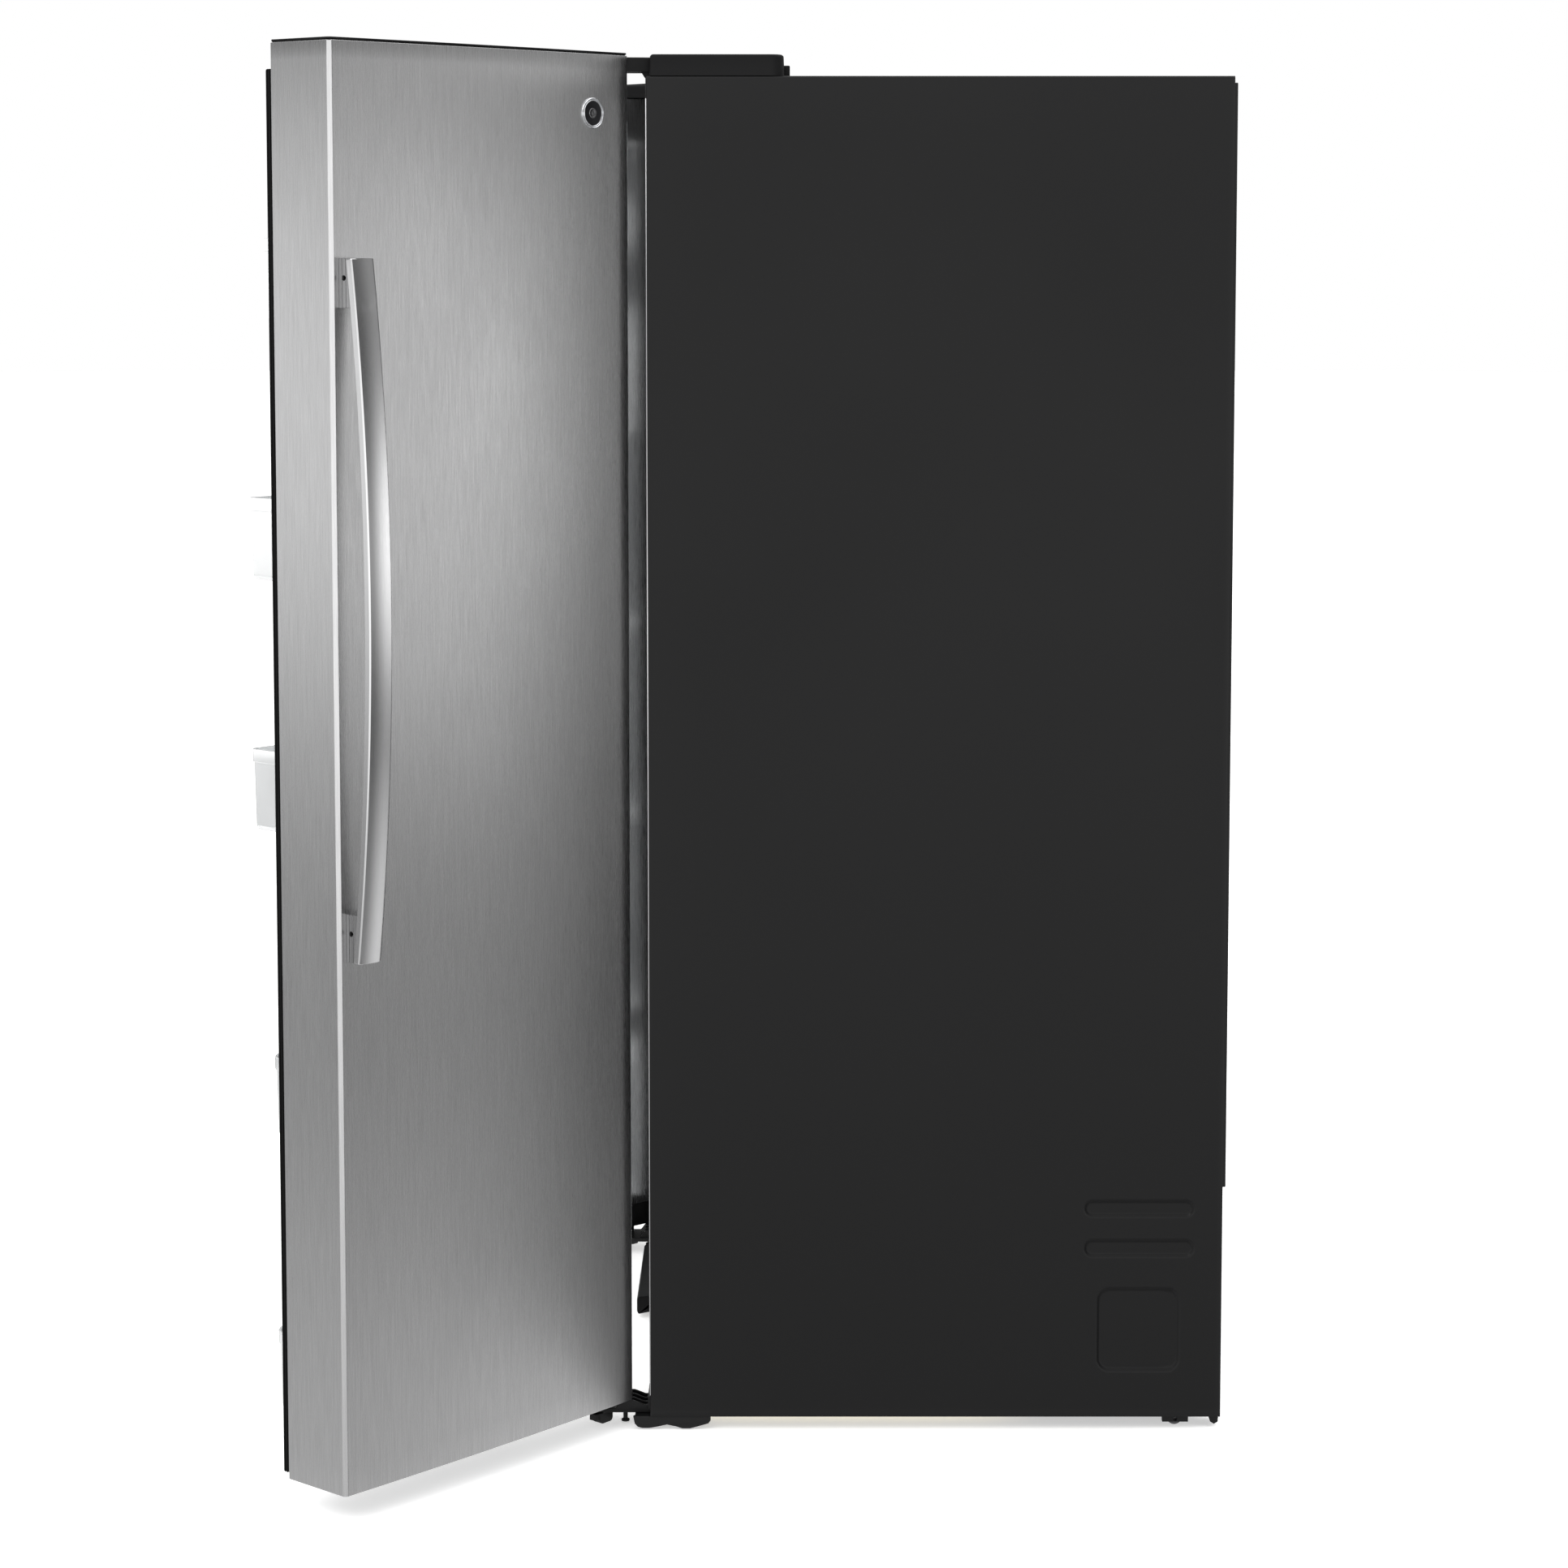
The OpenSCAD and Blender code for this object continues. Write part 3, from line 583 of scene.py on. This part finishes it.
def control_panel():
    """Keys and a small blank display on the front of the control housing."""
    low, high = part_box("control_housing")
    middle = (low.z + high.z) / 2 + 12 * MM
    start, pitch, count = low.x + 60 * MM, 36 * MM, 4

    def raised(x, wide, proud, half_height, edge):
        return block((x, x + wide), (low.y - proud, low.y + 1 * MM),
                     (middle - half_height, middle + half_height), edge)

    keys = [raised(start + i * pitch, 24 * MM, 1.6 * MM, 5 * MM, 1.4 * MM) for i in range(count)]
    finish_piece("control_keys", joined(keys), "cabinet", "shelf_trim")
    display = raised(start + count * pitch + 10 * MM, 70 * MM, 1.2 * MM, 8 * MM, 1.0 * MM)
    finish_piece("control_display", display, "cabinet", "black_plastic", material=MATERIALS["display"])


# ---------------------------------------------------------------- doors


class Door:
    """A door's own axes. u runs from its hinge side to its free edge, v from its front inwards."""

    DEPTH = 101 * MM  # from the front's corner edges to the back

    def __init__(self, name):
        self.name = name
        self.body = name + "_door"
        joint = JOINTS[self.body + "_hinge"]
        turn = math.radians(-joint["range_deg"][0])
        side = joint["axis"][2]
        self.along = Vector((-side * math.cos(turn), -math.sin(turn), 0))
        self.inward = Vector((-side * math.sin(turn), math.cos(turn), 0))
        self.origin = Vector(joint["pos_m"][:2] + [0])
        low, high = self.local_box(self.body + "_skin")
        self.origin += self.along * low.x + self.inward * (high.y - self.DEPTH)
        self.width = high.x - low.x
        self.bottom, self.top = low.z, high.z

    def local(self, point):
        offset = Vector(point) - self.origin
        return Vector((offset.dot(self.along), offset.dot(self.inward), offset.z))

    def place(self, u, v, z):
        return self.origin + self.along * u + self.inward * v + Vector((0, 0, z))

    def local_box(self, node):
        points = [self.local(vertex.co) for vertex in NODES[node].data.vertices]
        low = Vector([min(p[i] for p in points) for i in range(3)])
        high = Vector([max(p[i] for p in points) for i in range(3)])
        return low, high

    def hang(self, work, name, slot, nodes=(), smooth=35, material=None):
        """A bmesh drawn in the door's own axes becomes a piece on the door."""
        for vertex in work.verts:
            vertex.co = self.place(*vertex.co)
        return finish_piece(self.name + "_" + name, work, self.body, slot, nodes, material, smooth)


def skin_outline(width, inset):
    """The door's sheet seen from above: hinge side, bowed front, free side."""
    edge_r, bow, depth = 6 * MM, 4 * MM, Door.DEPTH
    points = [(inset, v * MM) for v in (101, 60, 20, 8)]
    points += arc((edge_r, edge_r), edge_r - inset, 180, 270, 8)
    for i in range(1, 32):
        s = i / 32
        points.append((edge_r + s * (width - 2 * edge_r), inset - bow * 4 * s * (1 - s)))
    chamfer = ((4.4, 0), (3.9, 0.07), (3.4, 0.35), (0.35, 3.4), (0.07, 3.9), (0, 4.4))
    points += [(width - a * MM - inset, b * MM + inset) for a, b in chamfer]
    return points + [(width - inset, v * MM) for v in (20, 60, 101)]


def door_skin(door):
    """One folded sheet with its hinge side cut back over the hinge pockets."""
    lip = 0.5 * MM
    hem, head = door.bottom + 1.3 * MM, door.top - 1.5 * MM
    lower_pocket, upper_pocket = door.bottom + 34 * MM, 1753.1 * MM
    levels = [(hem, lip), (hem + lip, 0), (door.bottom + 35 * MM, 0)]
    levels += [(0.3, 0), (0.9, 0), (1.5, 0), (1.753, 0), (head - lip, 0), (head, lip)]
    work = loft(
        [[(u, v, z) for u, v in skin_outline(door.width, inset)] for z, inset in levels], around=False
    )
    in_pocket = [
        face
        for face in work.faces
        if all(vertex.co.y > 7.9 * MM and vertex.co.x < 2 * MM for vertex in face.verts)
        and not lower_pocket <= face.calc_center_median().z <= upper_pocket
    ]
    bmesh.ops.delete(work, geom=in_pocket, context="FACES")
    piece = door.hang(work, "door_sheet", "stainless", [door.body + "_skin"], smooth=50)
    weighted(sheet_metal(piece, 1 * MM))


def liner_ring(u, z, radius, v):
    return [(a, v, b) for a, b in rounded_rectangle(u, z, radius, 5)]


def door_liner(door):
    """A vacuum-formed inner panel: a flat flange, a raised rounded wall all round, a flat floor."""
    low, high = door.local_box(door.body + "_liner")
    flange, crest = Door.DEPTH, high.y
    outer_u, outer_z = (62 * MM, door.width - 40 * MM), (76 * MM, 1662 * MM)
    inner_u, inner_z = (84 * MM, door.width - 58 * MM), (84 * MM, 1650 * MM)

    def ring(u, z, grow, radius, v):
        return liner_ring((u[0] - grow, u[1] + grow), (z[0] - grow, z[1] + grow), radius, v)

    edge_u, edge_z = (low.x, high.x), (low.z, high.z)
    rings = [
        ring(edge_u, edge_z, 0, 4 * MM, flange - 4 * MM),
        ring(edge_u, edge_z, 0, 4 * MM, flange - 0.5 * MM),
        ring(edge_u, edge_z, -0.5 * MM, 4 * MM, flange),
        ring(outer_u, outer_z, 4 * MM, 18 * MM, flange),
        ring(outer_u, outer_z, 1.6 * MM, 16 * MM, flange + 0.7 * MM),
        ring(outer_u, outer_z, 0.4 * MM, 15 * MM, flange + 3 * MM),
        ring(outer_u, outer_z, -0.3 * MM, 14 * MM, crest - 3 * MM),
        ring(outer_u, outer_z, -1.2 * MM, 13 * MM, crest - 0.8 * MM),
        ring(outer_u, outer_z, -3 * MM, 12 * MM, crest),
        ring(inner_u, inner_z, 1.6 * MM, 10 * MM, crest),
        ring(inner_u, inner_z, 0.5 * MM, 9 * MM, crest - 0.8 * MM),
        ring(inner_u, inner_z, 0, 8 * MM, crest - 3 * MM),
        ring(inner_u, inner_z, -0.8 * MM, 8 * MM, flange + 4 * MM),
        ring(inner_u, inner_z, -2 * MM, 8 * MM, flange + 1 * MM),
        ring(inner_u, inner_z, -4.5 * MM, 7 * MM, flange + 0.2 * MM),
    ]
    work = loft(rings, last_cap=True)
    weighted(door.hang(work, "door_inner_panel", "liner_white", [door.body + "_liner"], smooth=50))


def door_gasket(door):
    """A magnetic seal: its foot, a folded bellows and the flat head that meets the frame."""
    low, high = door.local_box(door.name + "_gasket")
    foot, head = low.y, high.y
    section = [
        (1.5, 0.0), (0.6, 0.6), (0.2, 2.0), (0.8, 3.0), (2.6, 3.5), (3.0, 4.0), (2.6, 4.5), (0.6, 5.0),
        (0.0, 6.2), (0.6, 7.2), (2.6, 7.7), (3.0, 8.0), (2.6, 8.4), (0.4, 8.8), (0.0, 9.6), (0.2, 10.8),
        (1.0, 11.3), (14.0, 11.3), (15.0, 10.6), (15.0, 9.0), (14.0, 8.4), (11.0, 8.0), (15.5, 5.5),
        (17.6, 3.0), (17.8, 0.6), (17.0, 0.0),
    ]
    wider = 3.8 * MM  # the outer fold reaches this much further on the free side
    rings = []
    for inset, rise in section:
        inset *= MM
        free = high.x - inset + (wider if inset < 5 * MM else 0)
        rectangle = rounded_rectangle((low.x + inset, free), (low.z + inset, high.z - inset), 2 * MM, 2)
        rings.append([(u, foot + rise * MM * (head - foot) / (11.3 * MM), z) for u, z in rectangle])
    work = loft(rings, along=True)
    weighted(door.hang(work, "gasket_finished", "gasket_rubber", [door.name + "_gasket"], smooth=50))


def bin_section(u, v, radius, inset, z):
    """A bin's outline at height z: round front corners, nearly square back ones."""
    front, back = max(radius - inset, 1 * MM), max(3 * MM - inset, 0.8 * MM)
    sides, depths = (u[0] + inset, u[1] - inset), (v[0] + inset, v[1] - inset)
    return [(a, b, z) for a, b in rounded_rectangle(sides, depths, [front, front, back, back], 6)]


def door_bin(low, high, radius):
    """A clear moulded bin: drafted walls, a round foot and a stepped rim."""
    rim, wall = 1.8 * MM, 2.6 * MM
    u, v = (low.x + rim, high.x - rim), (low.y, high.y - rim)
    bottom, top = low.z, high.z
    draft = 2.0 * MM
    outside = []
    for i in range(5):
        a = math.pi / 2 * i / 4
        outside.append((draft + 7 * MM * (1 - math.sin(a)), bottom + 7 * MM * (1 - math.cos(a))))
    outside += [(0.3 * MM, top - 17.0 * MM), (0.1 * MM, top - 16.4 * MM), (-rim + 0.4 * MM, top - 16 * MM),
                (-rim, top - 15.5 * MM), (-rim, top - 0.8 * MM), (-rim + 0.5 * MM, top - 0.1 * MM),
                (-rim + 1.2 * MM, top)]
    inside = [(1.1 * MM, top), (1.7 * MM, top - 0.3 * MM), (wall - rim + 1.2 * MM, top - 1 * MM),
              (wall, top - 18 * MM)]
    for i in range(4, -1, -1):
        a = math.pi / 2 * i / 4
        inside.append((draft + wall + 5 * MM * (1 - math.sin(a)), bottom + wall + 5 * MM * (1 - math.cos(a))))
    rings = [bin_section(u, v, radius, inset, z) for inset, z in outside + inside]
    return loft(rings, first_cap=True, last_cap=True)


def solids_of(door, node):
    """Each separate solid's box in the door's axes, from the bottom up."""
    work = bmesh.new()
    work.from_mesh(NODES[node].data)
    bmesh.ops.remove_doubles(work, verts=work.verts, dist=1e-5)
    seen, boxes = set(), []
    for start in work.verts:
        if start in seen:
            continue
        group, queue = [], [start]
        seen.add(start)
        while queue:
            vertex = queue.pop()
            group.append(door.local(vertex.co))
            for edge in vertex.link_edges:
                other = edge.other_vert(vertex)
                if other not in seen:
                    seen.add(other)
                    queue.append(other)
        boxes.append((Vector([min(p[i] for p in group) for i in range(3)]),
                      Vector([max(p[i] for p in group) for i in range(3)])))
    work.free()
    return sorted(boxes, key=lambda pair: pair[0].z)


def door_bins(door):
    """The bins, and the moulded lugs on the inner panel that each hangs on."""
    node = door.name + "_door_bins"
    bins, lugs = [], []
    for low, high in solids_of(door, node):
        deep = high.y - low.y > 120 * MM
        bins.append(door_bin(low, high, 9 * MM if deep else 30 * MM))
        sides = ((83.5 * MM, low.x + 1.6 * MM), (high.x - 1.6 * MM, door.width - 57.5 * MM))
        for side in sides:
            lugs.append(block(side, (105 * MM, 133 * MM), (low.z + 24 * MM, low.z + 78 * MM), 3 * MM))
    weighted(door.hang(joined(bins), "bins_finished", "clear_plastic", [node], smooth=40))
    weighted(door.hang(joined(lugs), "bin_lugs", "liner_white"))


def handle_bar(door):
    """A bowed bar: flat inside, crowned outside, with a chamfer along both edges."""
    low, high = door.local_box(door.name + "_handle")
    ends, sag, thick = 17 * MM, 26 * MM, 11 * MM
    half = (high.z - low.z) / 2
    middle = (high.z + low.z) / 2
    radius = ((half - 1 * MM) ** 2 + sag ** 2) / (2 * sag)
    wide = high.x - low.x
    section = [(0.6, 0), (0, 0.6), (0, 9.6), (0.3, 10.1)]
    section += [(a, 11 - 0.0047 * (a - 12.4) ** 2) for a in (0.9, 3.5, 6.5, 9.5, 12.4, 16, 20, 24, 28, 32.4)]
    section += [(32.8, 8.8), (33.8, 7.7), (34, 7.2), (34, 0.6), (33.4, 0)]
    reach = math.asin((half - 1.4 * MM) / (radius + thick))
    rings = []
    steps = 56
    for i in range(steps + 1):
        a = -reach + 2 * reach * i / steps
        ring = []
        for across, out in section:
            u = low.x + across * MM * wide / (34 * MM)
            d = out * MM
            v = -ends - sag + radius * (1 - math.cos(a)) - d
            ring.append((u, v, middle + (radius + d) * math.sin(a)))
        rings.append(ring)
    work = loft(rings, first_cap=True, last_cap=True)
    caps = [face for face in work.faces if len(face.verts) > 4]
    rims = [edge for face in caps for edge in face.edges]
    bmesh.ops.bevel(work, geom=rims, offset=1 * MM, segments=3, affect="EDGES", profile=0.5)
    return work


def handle_mount(u, z):
    """A handle's foot in three slabs with fine joints between them."""
    stack = ((-1.3, -6.4, 0), (-6.2, -7.2, 0.7), (-7.0, -13.0, 0), (-12.8, -13.8, 0.6), (-13.6, -22.0, 0))
    return joined([
        block((u[0] + inset * MM, u[1] - inset * MM), (back * MM, front * MM),
              (z[0] + inset * MM, z[1] - inset * MM), 0.5 * MM, 2)
        for front, back, inset in stack
    ])


def cut(work, tool):
    """work with tool's volume removed."""
    objects = []
    for part in (work, tool):
        bmesh.ops.recalc_face_normals(part, faces=part.faces)
        mesh = bpy.data.meshes.new("cut")
        part.to_mesh(mesh)
        part.free()
        objects.append(bpy.data.objects.new("cut", mesh))
        bpy.context.scene.collection.objects.link(objects[-1])
    modifier = objects[0].modifiers.new("cut", "BOOLEAN")
    modifier.object = objects[1]
    modifier.solver = "EXACT"
    modifier.use_self = True
    bpy.context.view_layer.update()
    result = bmesh.new()
    result.from_object(objects[0], bpy.context.evaluated_depsgraph_get())
    for old in objects:
        mesh = old.data
        bpy.data.objects.remove(old)
        bpy.data.meshes.remove(mesh)
    return result


def door_handle(door):
    low, high = door.local_box(door.name + "_handle")
    u = (low.x + 3 * MM, high.x - 3 * MM)
    mounts = []
    for z in (low.z + 1.4 * MM, high.z - 59.4 * MM):
        mount = handle_mount(u, (z, z + 58 * MM))
        screw = (u[1], -10 * MM, z + 35 * MM), (1, 0, 0), 24
        mounts.append(cut(mount, turned([(3.3 * MM, -8 * MM), (3.3 * MM, 1 * MM)], *screw)))
        socket = ((3.2, -7.5), (3.2, -1.2), (1.6, -1.6), (1.5, -5))
        plug = turned([(r * MM, d * MM) for r, d in socket], *screw)
        end = "lower" if z < 1 else "upper"
        door.hang(plug, "handle_set_screw_" + end, "black_plastic")
    weighted(door.hang(handle_bar(door), "handle_bar", "handle_metal", [door.name + "_handle"], smooth=25))
    weighted(door.hang(joined(mounts), "handle_mounts", "handle_metal", smooth=30,
                       material=MATERIALS["handle_cast"]))


def badge():
    """A blank round badge: a bright stepped ring, a dark enamel dish and a plain raised disc."""
    low, high = fresh.local_box("door_badge")
    centre = ((low.x + high.x) / 2, high.y, (low.z + high.z) / 2)

    def part(name, profile, material=None):
        work = turned([(r * MM, d * MM) for r, d in profile], centre, (0, -1, 0), 72)
        nodes = ["door_badge"] if material is None else []
        fresh.hang(work, name, "badge_chrome", nodes, material=material)

    part("badge_ring", ((19.3, 0), (19.5, 1.4), (19.0, 2.4), (18.2, 2.8), (17.4, 2.5), (17.0, 1.7),
                        (16.6, 1.7), (16.3, 2.3), (15.8, 2.6), (15.3, 2.3), (15.0, 1.2), (15.0, 0.2)))
    part("badge_dish", ((15.2, 0.4), (15.1, 1.3), (13.5, 1.0), (6.5, 0.9), (6.3, 0.8)),
         MATERIALS["badge_enamel"])
    part("badge_disc", ((6.4, 0.5), (6.4, 1.5), (6.0, 1.9), (5.0, 2.0), (4.6, 1.8), (2.0, 1.9), (0.3, 1.95)),
         MATERIALS["badge_centre"])


fresh = Door("fresh")
freezer = Door("freezer")

for node in NODES:
    NODES[node].data.materials.clear()
    NODES[node].data.materials.append(MATERIALS[SLOTS[node]])

cabinet_wrap()
front_rails()
hinge_covers()
smooth_liner("fresh_liner")
smooth_liner("freezer_liner")
fasteners()
control_panel()
badge()
for door in (fresh, freezer):
    door_skin(door)
    door_liner(door)
    door_gasket(door)
    door_bins(door)
    door_handle(door)

ROUNDED = {
    "mullion_bar": 1.2, "back_panel": 1.0, "base_grille": 0.8, "upper_hinges": 0.8,
    "lower_hinges": 0.9, "roller_brackets": 0.8, "shelf_frames": 1.6, "glass_shelves": 0.8,
    "drawer_rails": 1.5, "freezer_shelves": 1.6, "ice_maker": 1.8, "control_housing": 2.0,
    "lamp_lenses": 1.2, "air_duct": 2.0, "crisper_lower": 1.1, "crisper_upper": 1.1,
    "deli_drawer": 1.1, "freezer_basket": 1.1, "ice_bucket": 1.1, "dairy_lid": 1.0,
    "fresh_door_caps": 0.6, "freezer_door_caps": 0.6, "base_frame": 0.5, "drain_pan": 0.6,
    "water_filter": 1.2, "machine_cover": 0.5, "evaporator_cover": 0.6, "power_inlet": 0.6,
    "water_valve": 0.8, "compressor": 1.5, "fan_motors": 0.6,
}
for node, width in ROUNDED.items():
    rounded(node, width * MM)


# ---------------------------------------------------------------- stage, light, camera


# the room's brightness by the sine of the elevation, and by the azimuth in degrees from +X
BY_HEIGHT = [(-0.5, 0.95), (-0.33, 0.88), (-0.26, 0.72), (-0.20, 0.22), (-0.14, 0.55), (-0.08, 1.55),
             (0.0, 1.66), (0.035, 0.72), (0.08, 0.20), (0.3, 0.45), (0.6, 1.15), (1.0, 1.4)]
# and the same for the lit wall straight ahead of the object's right side
WALL_BY_HEIGHT = [(-0.5, 0.55), (-0.33, 0.80), (-0.20, 1.45), (-0.10, 1.90), (0.0, 2.0), (0.08, 1.7),
                  (0.3, 0.7), (0.6, 1.15), (1.0, 1.4)]
WALL_HALF_WIDTH = math.radians(38)
BY_AZIMUTH = [(-180, 1.0), (-105, 0.9), (-82, 0.82), (-60, 0.95), (-35, 1.5), (35, 1.5), (50, 0.5),
              (60, 0.25), (77, 0.28), (92, 1.25), (112, 1.30), (150, 1.0), (180, 1.0)]


def studio_world():
    """White to the eye; to the surfaces a soft room with a lit horizon and a bright ceiling."""
    world = bpy.data.worlds.new("studio")
    world.use_nodes = True
    tree = world.node_tree

    def node(kind, inputs=(), **values):
        made = tree.nodes.new(kind)
        for key, value in values.items():
            setattr(made, key, value)
        for socket, value in inputs:
            if hasattr(value, "is_output"):
                tree.links.new(value, made.inputs[socket])
            else:
                made.inputs[socket].default_value = value
        return made

    def profile(value, start, end, stops):
        """value from start to end, turned into a brightness by stops."""
        share = node("ShaderNodeMapRange", [("Value", value), ("From Min", start), ("From Max", end)])
        ramp = node("ShaderNodeValToRGB", [(0, share.outputs["Result"])])
        ramp.color_ramp.interpolation = "B_SPLINE"
        brightest = max(level for _, level in stops)
        elements = ramp.color_ramp.elements
        for i, (place, level) in enumerate(stops):
            element = elements[i] if i < 2 else elements.new(1)
            element.position = (place - start) / (end - start)
            element.color = (*[level / brightest] * 3, 1)
        scaled = node("ShaderNodeMath", [(0, ramp.outputs["Color"]), (1, brightest)], operation="MULTIPLY")
        return scaled.outputs[0]

    direction = node("ShaderNodeTexCoord").outputs["Generated"]
    parts = node("ShaderNodeSeparateXYZ", [(0, direction)]).outputs
    azimuth = node("ShaderNodeMath", [(0, parts["Y"]), (1, parts["X"])], operation="ARCTAN2").outputs[0]
    by_height = profile(parts["Z"], BY_HEIGHT[0][0], 1, BY_HEIGHT)
    by_azimuth = profile(azimuth, -math.pi, math.pi, [(math.radians(a), level) for a, level in BY_AZIMUTH])
    overhead = node("ShaderNodeMapRange", [("Value", parts["Z"]), ("From Min", 0.15), ("From Max", 0.45)])
    side = node("ShaderNodeMix", [("Factor", overhead.outputs[0]), (2, by_azimuth), (3, 1.0)])
    around = node("ShaderNodeMath", [(0, by_height), (1, side.outputs[0])], operation="MULTIPLY")
    off_axis = node("ShaderNodeMath", [(0, azimuth)], operation="ABSOLUTE")
    wall_edge = [("From Min", WALL_HALF_WIDTH), ("From Max", WALL_HALF_WIDTH * 0.7)]
    on_wall = node("ShaderNodeMapRange", [("Value", off_axis.outputs[0])] + wall_edge,
                   interpolation_type="SMOOTHSTEP")
    wall = profile(parts["Z"], BY_HEIGHT[0][0], 1, WALL_BY_HEIGHT)
    room = node("ShaderNodeMix", [("Factor", on_wall.outputs[0]), (2, around.outputs[0]), (3, wall)])
    path = node("ShaderNodeLightPath").outputs
    through = path["Is Transmission Ray"]
    seen = node("ShaderNodeMath", [(0, path["Is Camera Ray"]), (1, through)], operation="MAXIMUM")
    plain = node("ShaderNodeMath", [(0, through), (1, -0.26), (2, 1.0)], operation="MULTIPLY_ADD")
    mix = node("ShaderNodeMix", [("Factor", seen.outputs[0]), (2, room.outputs[0]), (3, plain.outputs[0])])
    tree.links.new(mix.outputs[0], tree.nodes["Background"].inputs["Strength"])
    tree.nodes["Background"].inputs["Color"].default_value = (1, 1, 1, 1)
    bpy.context.scene.world = world


def stage_and_light():
    bpy.ops.mesh.primitive_circle_add(vertices=96, radius=40, fill_type="NGON", location=(0, 0, -0.0002))
    floor = bpy.context.object
    floor.name = "studio_floor"
    floor.visible_glossy = False
    s = Shading("studio_floor", Roughness=0.6)
    soft = s.noise(s.stretched((1.5, 1.5, 1.5)), 1.0, 2.0)
    s.colour(s.blend(s.spread(soft, 0, 1), (0.94, 0.94, 0.94), (0.96, 0.96, 0.96)))
    s.shader.inputs["Emission Color"].default_value = (1, 1, 1, 1)
    s.shader.inputs["Emission Strength"].default_value = 0.5
    floor.data.materials.append(s.material)
    studio_world()

    for name, place, size, power in (
        ("key", (5.5, -3.0, 6.0), 4.0, 160),
        ("back_fill", (1.5, 6.5, 6.0), 4.0, 60),
        ("left_fill", (-6.0, -4.0, 5.0), 4.0, 90),
        ("front_fill", (-0.6, -7.0, 2.4), 3.0, 110),
    ):
        light = bpy.data.lights.new(name, "AREA")
        light.size = size
        light.energy = power
        lamp = bpy.data.objects.new(name, light)
        lamp.visible_glossy = name != "front_fill"
        lamp.location = place
        target = Vector((0, 0, 0.9))
        lamp.rotation_euler = (target - Vector(place)).to_track_quat("-Z", "Y").to_euler()
        bpy.context.scene.collection.objects.link(lamp)


def camera():
    """Square to the right side, a little above the middle, looking slightly down."""
    distance, ahead, height = 4.646, 0.1745, 1.5376
    pitch = 5.4
    lens, shift = 84.12, -0.1236
    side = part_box("cabinet_shell")[1].x
    data = bpy.data.cameras.new("camera")
    data.lens = lens
    data.shift_y = shift
    data.clip_end = 200
    eye = bpy.data.objects.new("camera", data)
    eye.location = (side + distance, ahead, height)
    eye.rotation_euler = (math.radians(90 - pitch), 0, math.radians(90))
    bpy.context.scene.collection.objects.link(eye)
    bpy.context.scene.camera = eye


stage_and_light()
camera()
bpy.context.scene.view_settings.view_transform = "Standard"
bpy.context.scene.view_settings.look = "None"
